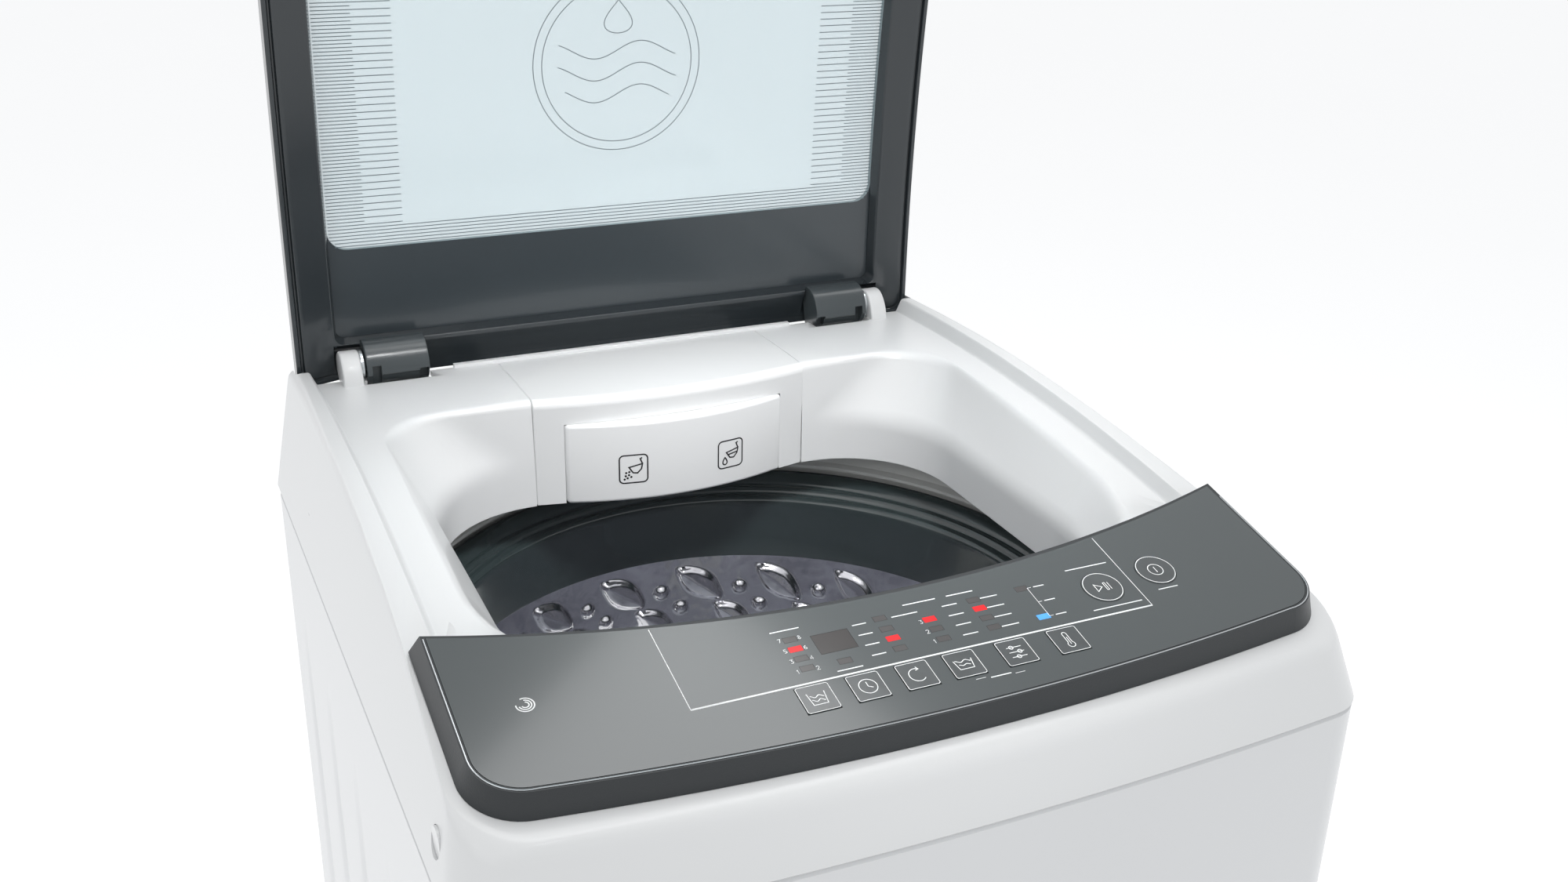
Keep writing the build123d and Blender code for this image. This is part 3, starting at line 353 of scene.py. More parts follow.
WHITE = material("white_gloss_plastic", (0.76, 0.77, 0.775), rough=0.3, vary=0.006, bump=0.04, bump_scale=420,
                 coat=0.25, rough_vary=0.015, scale=3)
PAINT = material("white_enamel", (0.69, 0.70, 0.71), rough=0.32, vary=0.008, bump=0.05, bump_scale=600,
                 coat=0.35, rough_vary=0.015, scale=3)
CHARCOAL = material("charcoal_gloss", (0.030, 0.037, 0.042), rough=0.22, vary=0.05, bump=0.05,
                    bump_scale=700, coat=0.3)
# Hinge hoods: the lid's charcoal painted lighter, a painted highlight standing in for the light the rounded
# hood catches.
HOOD_CHARCOAL_PAINTED_LIGHT = material("charcoal_hood_painted_highlight", (0.055, 0.066, 0.071), rough=0.26, vary=0.05, bump=0.05, bump_scale=700,
                coat=0.2)
GRAINED = material("charcoal_grained", (0.020, 0.024, 0.027), rough=0.36, vary=0.08, bump=0.35,
                   bump_scale=1400)
OVERLAY = material("panel_grey", (0.062, 0.074, 0.077), rough=0.15, vary=0.03, bump=0.02, bump_scale=600,
                   coat=0.35, spec=0.7, rough_vary=0.02)
INK = material("white_ink", (0.86, 0.88, 0.88), rough=0.5, vary=0.02)
SILVER = material("silver_trim", (0.62, 0.65, 0.67), rough=0.25, metallic=0.9, vary=0.04, bump=0.06,
                  bump_scale=1800)
KEY = material("key_face", (0.052, 0.062, 0.065), rough=0.18, vary=0.22, scale=60, coat=0.5, spec=0.8)
LENS_OFF = material("lens_off", (0.065, 0.062, 0.062), rough=0.2, vary=0.06, scale=90, coat=0.4)
LENS_RED = material("lens_red", (0.70, 0.008, 0.012), rough=0.2, vary=0.08, scale=90, emission=0.3)
LENS_BLUE = material("lens_blue", (0.07, 0.30, 0.72), rough=0.2, vary=0.08, scale=90, emission=0.6)
DISPLAY = material("display_smoke", (0.036, 0.032, 0.031), rough=0.14, vary=0.05, scale=50, coat=0.6)
GLASS = material("clear_glass", (0.74, 0.90, 0.95), rough=0.05, vary=0.01, alpha=0.40, rough_vary=0.02)
PRINT = material("dark_print", (0.047, 0.058, 0.066), rough=0.2, vary=0.10, scale=3, coat=0.3)
LINE = material("grey_line_print", (0.17, 0.21, 0.23), rough=0.4, vary=0.05, scale=40)
RING = material("ring_dark_green", (0.032, 0.046, 0.048), rough=0.24, vary=0.10, scale=8, bump=0.08,
                bump_scale=900, coat=0.6, spec=0.9)
STEEL = material("basket_steel", (0.78, 0.775, 0.82), rough=0.15, metallic=1.0, vary=0.12, scale=22,
                 rough_vary=0.05, bump=0.9, bump_scale=19, relief_mm=4.0)
BRIGHT = material("bright_steel", (0.56, 0.56, 0.57), rough=0.3, metallic=1.0, vary=0.08, scale=30, bump=0.1,
                  bump_scale=1600, stretch=(1, 1, 0.1))
ZINC = material("zinc_sheet", (0.56, 0.575, 0.585), rough=0.42, metallic=0.7, vary=0.06, scale=35, bump=0.08)
TUBWHITE = material("tub_white", (0.72, 0.73, 0.71), rough=0.42, vary=0.02, bump=0.1, bump_scale=600)
TUBGREY = material("basket_grey", (0.60, 0.63, 0.66), rough=0.4, vary=0.05, bump=0.1, bump_scale=600)
RUBBER = material("black_rubber", (0.018, 0.018, 0.019), rough=0.7, vary=0.12, scale=50, bump=0.3,
                  bump_scale=1200)
BASE = material("base_grey", (0.12, 0.125, 0.13), rough=0.5, vary=0.05, bump=0.25, bump_scale=1100)
ALLOY = material("cast_alloy", (0.48, 0.48, 0.47), rough=0.48, metallic=0.9, vary=0.1, scale=40, bump=0.5,
                 bump_scale=900)
MOTOR = material("motor_black", (0.05, 0.052, 0.055), rough=0.45, metallic=0.3, vary=0.1, scale=30, bump=0.2)
BOARD = material("board_green", (0.012, 0.10, 0.035), rough=0.4, vary=0.2, scale=120)
ICON_INK = material("black_ink", (0.02, 0.02, 0.022), rough=0.5, vary=0.05)

CAD_LOOKS = {
    "cabinet_wrap": PAINT, "rear_panel": ZINC, "case_screws": BRIGHT, "cord_gland": RUBBER,
    "base_frame": BASE, "rear_feet": RUBBER, "front_foot_left": RUBBER, "front_foot_right": RUBBER,
    "foot_lock_nuts": BRIGHT, "drain_spigot": BASE, "top_cover": WHITE, "screw_caps": WHITE,
    "control_bezel": GRAINED, "control_overlay": OVERLAY, "indicator_lenses": LENS_OFF,
    "display_window": DISPLAY, "control_board": BOARD, "key_water_level": KEY, "key_delay": KEY,
    "key_function": KEY, "key_rinse": KEY, "key_program": KEY, "key_temperature": KEY,
    "start_pause_button": KEY, "power_button": KEY, "lid_frame": CHARCOAL, "lid_glass": GLASS,
    "hinge_covers": CHARCOAL, "lid_bumpers": RUBBER, "hinge_pins": BRIGHT, "hinge_bushes": SILVER,
    "dispenser_housing": WHITE, "dispenser_drawer": WHITE, "siphon_cap": TUBWHITE,
    "water_inlet_valve": TUBWHITE, "inlet_hose": RUBBER, "outer_tub": TUBWHITE, "tub_cover": TUBWHITE,
    "tub_bracket": ZINC, "damper_cups": TUBGREY, "suspension_rods": BRIGHT, "suspension_springs": BRIGHT,
    "suspension_brackets": ZINC, "gearcase": ALLOY, "drive_motor": MOTOR, "motor_pulley": ALLOY,
    "drive_belt": RUBBER, "drain_valve": TUBWHITE, "drain_hose": RUBBER, "balance_ring": RING,
    "basket_wall": STEEL, "basket_base": TUBGREY, "lint_filters": TUBWHITE, "spin_shaft": BRIGHT,
    "pulsator": TUBGREY, "pulsator_cap": TUBWHITE, "pulsator_shaft": BRIGHT, "drive_pulley": ALLOY,
    "pressure_sensor": TUBWHITE, "lid_switch": TUBWHITE,
}
for node, look in CAD_LOOKS.items():
    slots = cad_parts[node].material_slots
    for slot in slots:
        slot.material = look


# --------------------------------------------------------------- top cover
def smooth(t):
    """Eases 0 to 1."""
    t = min(1, max(0, t))
    return t * t * (3 - 2 * t)


def rim_z(y):
    """Crowned side rims."""
    return RIM_CREST[1] - (y - RIM_CREST[0]) ** 2 / (2 * RIM_R)


def seat_z(y):
    """Flat that the control panel sits on."""
    return PANEL_Z - BEZEL_H / cos(PANEL_TILT) + (y - PANEL_Y) * tan(PANEL_TILT)


def top_z(y, drop=0.0):
    """Height of the cover's top, less a drop behind the panel."""
    break_y = PANEL_Y + 6.5
    if y > break_y:
        ease = smooth((y - break_y) / 9)
        return rim_z(y) - drop * ease
    return seat_z(y)


def wall_points(inset, top_drop):
    """Bottom and top rows of the cover's tapering outer wall."""
    low = plan_ring(HALF_W - inset, REAR_Y - inset, -HALF_D + inset, FRONT_BOW, 6, CORNER_R)
    high = plan_ring(HALF_W - TAPER_SIDE - inset, REAR_Y - inset, -HALF_D + TAPER_FRONT + inset, FRONT_BOW, 6,
                     CORNER_R)
    bottom = [Vector((x, y, SEAM_Z)) for x, y in low]
    top = []
    for p, q in zip(low, high):
        z = 900.0
        for _ in range(6):
            t = (z - SEAM_Z) / TAPER_Z
            y = p[1] + (q[1] - p[1]) * t
            z = top_z(y) - top_drop
        t = (z - SEAM_Z) / TAPER_Z
        top.append(Vector((p[0] + (q[0] - p[0]) * t, p[1] + (q[1] - p[1]) * t, z)))
    return bottom, top


def mouth_ring(half_w, rear, front, bow, rear_r, front_r, height):
    """One level of the loading mouth; height is a number or a function of y."""
    pts = plan_ring(half_w, rear, front, bow, rear_r, front_r)
    out = []
    for x, y in pts:
        out.append(Vector((x, y, height(y) if callable(height) else height)))
    return out


def make_cover():
    """Moulded top: tapering outer wall, crowned rims, recessed deck, funnel mouth and skirt."""
    out_low, out_top = wall_points(0, 0)
    in_low, in_top = wall_points(WALL, WALL)
    chamfer = [p + Vector((0, 0, 1.6)) for p in out_low]
    out_low = [Vector((p.x * 0.995, p.y * 0.995, p.z)) for p in out_low]
    rim_in = mouth_ring(241, REAR_Y - 4, -215, 8, 5, 100, top_z)
    step = mouth_ring(236.5, REAR_Y - 6, -212, 8, 5, 100, lambda y: top_z(y, RECESS_DEPTH))
    lip = mouth_ring(213.5, 168, -155, 11, 46, 100, lambda y: top_z(y, RECESS_DEPTH))
    crease = mouth_ring(190, 165, -146, 10, 76, 92, 862)
    hem = mouth_ring(189, 164, -147, 10, 78, 92, SEAM_Z + 1.5)
    hem_out = mouth_ring(192, 167, -150, 10, 80, 94, SEAM_Z + 1.5)
    crease_out = mouth_ring(193, 168, -149, 10, 78, 94, 860)
    lip_out = mouth_ring(217, 171.5, -158, 11, 49, 102, lambda y: top_z(y, RECESS_DEPTH) - 3.5)
    deck_under = mouth_ring(238, REAR_Y - 9, -213, 8, 5, 100, lambda y: top_z(y, RECESS_DEPTH) - 3.5)
    deck = []
    for t in (0.25, 0.5, 0.75):
        mixed = [p.lerp(q, t) for p, q in zip(step, lip)]
        deck.append([Vector((p.x, p.y, top_z(p.y, RECESS_DEPTH))) for p in mixed])
    rows = [in_low, out_low, chamfer, out_top, rim_in, step, *deck, lip, crease, hem, hem_out, crease_out,
            lip_out,
            deck_under, in_top]

    def shoulder(p):
        return 4.2 + 5.5 * smooth((-205 - p.y) / 40) + 2.0 * smooth((p.y + 120) / 60) * (abs(p.x) > 235)

    radii = [0, 0, 0, shoulder, 1.8, 2.6, 0, 0, 0, 7.0, 9.0, 0.8, 0, 4, 4, 0, 0]
    rows = round_rows(rows, radii, steps=4, closed=True)
    verts, faces = skin(rows, across=True)
    return piece("cover_shell", verts, faces, WHITE, "cabinet", 38)


def block(name, low, high):
    """Cutting box between two corners in millimetres."""
    xs, ys, zs = zip(low, high)
    verts = [(x, y, z) for x in xs for y in ys for z in zs]
    faces = [[0, 1, 3, 2], [4, 6, 7, 5], [0, 4, 5, 1], [2, 3, 7, 6], [0, 2, 6, 4], [1, 5, 7, 3]]
    return piece(name, verts, faces, WHITE, None)


def rod_x(name, x0, x1, y, z, r, n=48):
    """Cutting cylinder along X."""
    rows = [[(x, y + r * cos(2 * pi * i / n), z + r * sin(2 * pi * i / n)) for i in range(n)]
            for x in (x0, x1)]
    verts, faces = skin(rows)
    cap(faces, 0, n, flip=True)
    cap(faces, 1, n)
    return piece(name, verts, faces, WHITE, None)


def cut(target, cutters, bevel=0.0, sharp=38):
    """Takes cutters out of target and deletes them."""
    for c in cutters:
        modifier = target.modifiers.new("cut", "BOOLEAN")
        modifier.operation = "DIFFERENCE"
        modifier.solver = "EXACT"
        modifier.object = c
    apply_modifiers(target)
    for c in cutters:
        bpy.data.objects.remove(c)
    if bevel:
        modifier = target.modifiers.new("soften", "BEVEL")
        modifier.width = bevel * MM
        modifier.segments = 2
        modifier.limit_method = "ANGLE"
        modifier.angle_limit = radians(50)
        apply_modifiers(target)
    target.data.shade_smooth()
    target.data.set_sharp_from_angle(angle=radians(sharp))
    even_shading(target)


def even_shading(target):
    """Lets the large faces decide the shading round the small ones beside them."""
    modifier = target.modifiers.new("weighted", "WEIGHTED_NORMAL")
    modifier.keep_sharp = True
    modifier.weight = 60
    apply_modifiers(target)


def apply_modifiers(obj):
    """Bakes an object's modifiers into its mesh."""
    graph = bpy.context.evaluated_depsgraph_get()
    graph.update()
    baked = bpy.data.meshes.new_from_object(obj.evaluated_get(graph))
    obj.modifiers.clear()
    old = obj.data
    obj.data = baked
    bpy.data.meshes.remove(old)


cover = make_cover()
cutters = [block("slot", (-SLOT_HALF_W, LEDGE_Y, LEDGE_Z), (SLOT_HALF_W, 300, 960)),
           block("seat", (-105.2, 151, 800), (105.2, 256.4, 940))]
for side in (1, -1):
    xa, xb = sorted((side * 155, side * 204))
    cutters.append(rod_x("notch", xa, xb, HINGE_Y, HINGE_Z, 20.5))
    xa, xb = sorted((side * (HALF_W - 7.5), side * (HALF_W + 4)))
    cutters.append(rod_x("cap_hole", xa, xb, -215, SEAM_Z + 22, 8.3, 40))
    xa, xb = sorted((side * (HALF_W - 5.5), side * (HALF_W + 4)))
    cutters.append(block("flank_slot", (xa, 148.2, 857), (xb, 152.0, 888)))
cut(cover, cutters, sharp=62)
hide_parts("top_cover")


def make_hinge_rail():
    """Low step across the back of the deck, between the hinges."""
    low, high = rim_z(262) - RECESS_DEPTH - 2, rim_z(262) - RECESS_DEPTH + 2.4
    outline = [(-137, 258.6), (137, 258.6), (137, 264.2), (-137, 264.2)]
    verts, faces = slab(outline, lambda x, y, z: Vector((x, y, z)), low, high, 0.8, 3)
    piece("hinge_rail", verts, faces, WHITE, "cabinet", 40)


make_hinge_rail()


# --------------------------------------------------------------- cabinet wrap
FLUTE_TOPS = {-196 * -1: 757.0, 106: 754.0, 13: 752.0, -82: 747.0}


def make_wrap():
    """Painted sheet cabinet with four tapered flutes pressed into each side."""
    half = HALF_W - 0.1
    plan = plan_ring(half, WRAP_HIGH[1], -HALF_D + 0.5, FRONT_BOW, 6, CORNER_R, n_side=150)
    heights = [WRAP_LOW[2] + 4] + [WRAP_LOW[2] + 8 + 9.2 * i for i in range(84)] + [WRAP_HIGH[2] - 1.7]

    def pressed(y, z):
        depth = 0.0
        for centre, top in FLUTE_TOPS.items():
            t = (top - z) / 620.0
            if t > 0:
                width = 3.0 + 17.0 * sqrt(min(1, t))
                across = (y - centre) / width
                if -1 < across < 1.6:
                    side_in = (1 + across) * 1.8 if across < 0 else (1 - across / 1.6)
                    depth = max(depth, 2.6 * min(1, 6 * t) * smooth(min(1, side_in)))
        return depth

    rows = []
    for z in heights:
        row = []
        for x, y in plan:
            flat = abs(x) > half - 0.01
            inset = pressed(y, z) if flat else 0
            row.append(Vector((x - inset * (1 if x > 0 else -1), y, z)))
        rows.append(row)
    lower = [Vector((p.x * 0.9985, p.y * 0.9985, WRAP_LOW[2])) for p in rows[0]]
    lip = [Vector((p.x * 0.9948, p.y * 0.9948, WRAP_HIGH[2])) for p in rows[-1]]
    inner_top = [Vector((p.x * 0.985, p.y * 0.985, WRAP_HIGH[2] - 1)) for p in rows[-1]]
    inner_low = [Vector((p.x * 0.985, p.y * 0.985, WRAP_LOW[2] + 1)) for p in rows[0]]
    rows = [inner_low, lower] + rows + [lip, inner_top]
    verts, faces = skin(rows, across=True)
    shell = piece("cabinet_skin", verts, faces, PAINT, "cabinet", 30)
    opening = block("rear_opening", (-HALF_W + 18, WRAP_HIGH[1] - 12, 20),
                    (HALF_W - 18, WRAP_HIGH[1] + 12, 900))
    cut(shell, [opening])
    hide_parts("cabinet_wrap")


# ------------------------------------------------------------------------ lid
def lid_place(x, s, depth):
    """Point on the open lid: s along it from the hinge, depth behind its inner face."""
    centre_y = HINGE_Y + LID_BACK - RIM_R * cos(LID_LEAN)
    centre_z = HINGE_Z + RIM_R * sin(LID_LEAN)
    angle = s / RIM_R - LID_LEAN
    return Vector((x, centre_y + (RIM_R + depth) * cos(angle), centre_z + (RIM_R + depth) * sin(angle)))


def lid_ring(inset, side_depth, low_depth=None):
    """Row that follows the lid's outline at an inset, with its own depth along the hinge edge."""
    corner = max(3, 14 - inset)
    low_depth = side_depth if low_depth is None else low_depth
    pts = plan_ring(LID_HALF_W - inset, -LID_START - inset, -LID_END_SIDE + inset,
                    LID_END_MID - LID_END_SIDE, max(3, 9 - inset * 0.1), corner, n_side=110)
    row = []
    for x, y in pts:
        s = -y
        hinge_side = smooth((34 - s) / 26) * smooth((LID_HALF_W - abs(x)) / 34)
        row.append(lid_place(x, s, side_depth + (low_depth - side_depth) * hinge_side))
    return row


LID_SECTION = [(0, 13.6, 13.6), (0, 0.1, 11.6), (3.0, 0.1, 11.4), (3.7, 3.4, 11.3), (5.2, 3.4, 11.2),
               (5.9, 0.8, 11.0), (8.5, 0.9, 10.4), (17, 2.6, 7.6), (26.5, 4.6, 1.6), (29.0, 5.0, 1.0),
               (31.5, 12.9, 12.9), (31.5, 13.6, 13.6)]
LID_ROUND = [0, 1.0, 0.6, 0.5, 0.5, 0.6, 1.0, 5.0, 1.5, 1.2, 2.0, 0]


def make_lid():
    """Frame, glass with its dark border, line print and wave badge, and hinge hoods."""
    rows = round_rows([lid_ring(i, d, low) for i, d, low in LID_SECTION], LID_ROUND, steps=3, closed=True)
    verts, faces = skin(rows, across=True)
    frame_shell = piece("lid_frame_shell", verts, faces, CHARCOAL, "lid", 32)
    cutters = []
    for side in (1, -1):
        xa, xb = sorted((side * 155.5, side * 221.2))
        cutters.append(rod_x("ear_room", xa, xb, HINGE_Y - 1, HINGE_Z, 16.2))
    cut(frame_shell, cutters)
    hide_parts("lid_frame")

    rows = [lid_ring(2.2, 14.0), lid_ring(1.5, 14.7), lid_ring(1.5, 17.3), lid_ring(2.2, 17.9)]
    verts, faces = skin(rows)
    n = len(rows[0])
    for row in (0, 3):
        faces += [[row * n + i for i in face] for face in lid_grid_cap(n)]
    sheet = piece("lid_glass_sheet", verts, faces, GLASS, "lid", 32)
    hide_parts("lid_glass")

    clear_w, clear_low, clear_high, clear_r = 217.0, 82.0, 372.0, 14.0
    window = [(x, -y) for x, y in plan_ring(clear_w, -clear_low, -clear_high, 30, clear_r, 12, n_side=110)]
    outer = plan_ring(LID_HALF_W - 4, -LID_START - 4, -LID_END_SIDE + 4, LID_END_MID - LID_END_SIDE, 9, 12,
                      n_side=110)
    for name, depth in (("glass_border_inner", 13.8), ("glass_border_outer", 17.92)):
        rows = []
        for k in range(9):
            t = k / 8
            rows.append([lid_place(a[0] + (b[0] - a[0]) * t, -a[1] + (b[1] + a[1]) * t, depth)
                         for a, b in zip(outer, window)])
        verts, faces = skin(rows)
        piece(name, verts, faces, PRINT, "lid", 32)

    # fine printed lines: a dense comb down both sides, every second line longer, and full lines at the foot
    lines = []
    pitch = 2.5
    count = int((clear_high + 22 - clear_low) / pitch)
    for k in range(1, count):
        s = clear_low + pitch * k
        bow_half = clear_w - 1 if s < clear_high else clear_w * sqrt(max(0, 1 - (s - clear_high) / 30)) - 4
        if k <= 6:
            spans = [(-bow_half + (4 if k < 3 else 0), bow_half - (4 if k < 3 else 0))]
        else:
            inner_x = 163 if k % 2 else 190
            spans = [(inner_x, bow_half), (-bow_half, -inner_x)]
        for a, b in spans:
            if b - a > 2:
                steps = max(1, int((b - a) / 60))
                for j in range(steps):
                    xa, xb = a + (b - a) * j / steps, a + (b - a) * (j + 1) / steps
                    lines.append(([lid_place(xa, s - 0.3, 13.75), lid_place(xb, s - 0.3, 13.75),
                                   lid_place(xb, s + 0.3, 13.75), lid_place(xa, s + 0.3, 13.75)],
                                   [[0, 1, 2, 3]]))
    verts, faces = merge(lines)
    piece("glass_line_print", verts, faces, LINE, "lid")

    # generic wave badge in thin lines
    def badge(x, y):
        return lid_place(x, 204 + y, 13.72)

    paths = [[(64 * cos(a), 64 * sin(a)) for a in [2 * pi * i / 96 for i in range(97)]],
             [(57.5 * cos(a), 57.5 * sin(a)) for a in [2 * pi * i / 96 for i in range(97)]]]
    for level in (-22, -6, 10):
        reach = sqrt(46 ** 2 - level ** 2)
        paths.append([(x, level + 6 * sin(x / 11)) for x in [-reach + 2 * reach * i / 60 for i in range(61)]])
    drop = [(15 * sin(2 * pi * i / 40) * sin(pi * i / 40) ** 1.4, 46 - 24 * (1 - cos(2 * pi * i / 40)) / 2)
            for i in range(41)]
    paths.append(drop)
    ink("lid_wave_badge", paths, badge, 0.55, LINE, "lid")

    for side in (1, -1):
        make_hinge_hood(side)


def lid_grid_cap(n):
    """Fills one face of the glass with strips across it, so that it follows the lid's curve."""
    n_edge, n_corner, n_side = 44, 12, 110
    front = list(range(0, n_edge - 1))
    start = len(front)
    right = list(range(start, start + n_corner + 1 + n_side - 1 + n_corner + 1))
    rear = list(range(right[-1] + 1, right[-1] + n_edge))
    left = list(range(rear[-1] + 1, n))[::-1]
    faces = []
    for i in range(len(right) - 1):
        a, b = right[i], right[i + 1]
        c, d = left[i + 1] if i + 1 < len(left) else left[-1], left[i] if i < len(left) else left[-1]
        faces.append([a, b, c, d])
    faces.append([left[0]] + front + [right[0]])
    faces.append([right[-1]] + rear + [left[-1]])
    return faces


def make_hinge_hood(side):
    """Round hood that turns on the hinge pin, with its two dark slots, and the white ear beside it."""
    hood = [(HINGE_Y + 15 * cos(a), HINGE_Z + 15 * sin(a)) for a in [radians(-62 - 6 * i) for i in range(18)]]
    hood += [(268 - 19 * cos(a), 912 + 21.3 * sin(a)) for a in [radians(6 * i) for i in range(16)]]
    hood += [(271.5, 933.3), (276.5, 929.0), (277.5, 921.0)]

    def place(y, z, x):
        return Vector((side * x, y, z))

    verts, faces = slab(hood, place, 157, 202, 0.9)
    # The hood's lighter charcoal is painted light on the same plastic as the lid frame.
    shell = piece(f"hinge_hood_{'right' if side > 0 else 'left'}", verts, faces, HOOD_CHARCOAL_PAINTED_LIGHT, "lid", 40)
    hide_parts("hinge_covers")
    cutters = []
    for x0, x1, low, high in ((191.8, 198.4, 902.5, 918.5), (157.8, 164.6, 905.0, 913.5)):
        xa, xb = sorted((side * x0, side * x1))
        cutters.append(block("hood_slot", (xa, 244, low), (xb, 256.5, high)))
    cut(shell, cutters)

    ear = [(244, 893), (244.3, 904), (246.5, 913), (250.5, 920.5), (256.5, 926), (263, 928), (270.5, 926.3),
           (275.3, 921.5), (276.9, 915), (275.3, 908.5), (270.5, 903.7), (265, 902), (265, 893)]
    ear = smooth_outline(ear, 2)
    verts, faces = slab(ear, place, 205.5, 219.5, 1.6, 4)
    piece(f"hinge_ear_{'right' if side > 0 else 'left'}", verts, faces, WHITE, "cabinet", 45)
    ring_rows = []
    for x, r in ((202.6, 9.5), (202.6, 11.6), (203.2, 12.2), (205.0, 12.2), (205.4, 11.8), (205.4, 9.5)):
        ring_rows.append([Vector((side * x, HINGE_Y + r * cos(2 * pi * i / 48),
                                  HINGE_Z + r * sin(2 * pi * i / 48)))
                          for i in range(48)])
    verts, faces = skin(ring_rows, across=True)
    piece(f"hinge_washer_{'right' if side > 0 else 'left'}", verts, faces, SILVER, "cabinet", 40)


def smooth_outline(points, rounds):
    """Chaikin corner cutting of a closed outline."""
    for _ in range(rounds):
        out = []
        for i in range(len(points)):
            p, q = Vector(points[i]), Vector(points[(i + 1) % len(points)])
            out += [tuple(p * 0.75 + q * 0.25), tuple(p * 0.25 + q * 0.75)]
        points = out
    return points


def finer(path, longest):
    """The path with extra points, so that no step is longer than the limit."""
    out = [path[0]]
    for a, b in zip(path, path[1:]):
        steps = max(1, int((b - a).length / longest) + 1)
        out += [a.lerp(b, (k + 1) / steps) for k in range(steps)]
    return out


def ink(name, paths, place, width, mat, body):
    """Flat printed strokes: each path is a list of (x, y) points."""
    parts = []
    for path in paths:
        path = finer([Vector(p) for p in path], 3.0)
        closed = (path[0] - path[-1]).length < 1e-6
        if closed:
            path = path[:-1]
        n = len(path)
        left, right = [], []
        for i, p in enumerate(path):
            a = path[i - 1] if (closed or i) else p
            b = path[(i + 1) % n] if (closed or i < n - 1) else p
            d1 = (p - a).normalized() if (p - a).length > 1e-9 else (b - p).normalized()
            d2 = (b - p).normalized() if (b - p).length > 1e-9 else d1
            d = (d1 + d2)
            d = d.normalized() if d.length > 1e-6 else d1
            stretch = min(2.0, 1 / max(0.35, d.dot(d1)))
            m = Vector((-d.y, d.x)) * width / 2 * stretch
            left.append(place(*(p + m)))
            right.append(place(*(p - m)))
        rows = [list(pair) for pair in zip(left, right)]
        parts.append(skin(rows, around=False, across=closed))
    verts, faces = merge(parts)
    return piece(name, verts, faces, mat, body)


# ------------------------------------------------------------------ dispenser
HOUSING_W = 104.95
DRAWER_W = 84.0
DRAWER_LOW, DRAWER_HIGH = 829.5, 890.0


def housing_front(x):
    """Bowed front of the detergent housing."""
    return 165 - 12 * (1 - (x / HOUSING_W) ** 2)


def drawer_front(x):
    """Bowed front of the drawer."""
    return 158 - 15 * (1 - (x / DRAWER_W) ** 2)


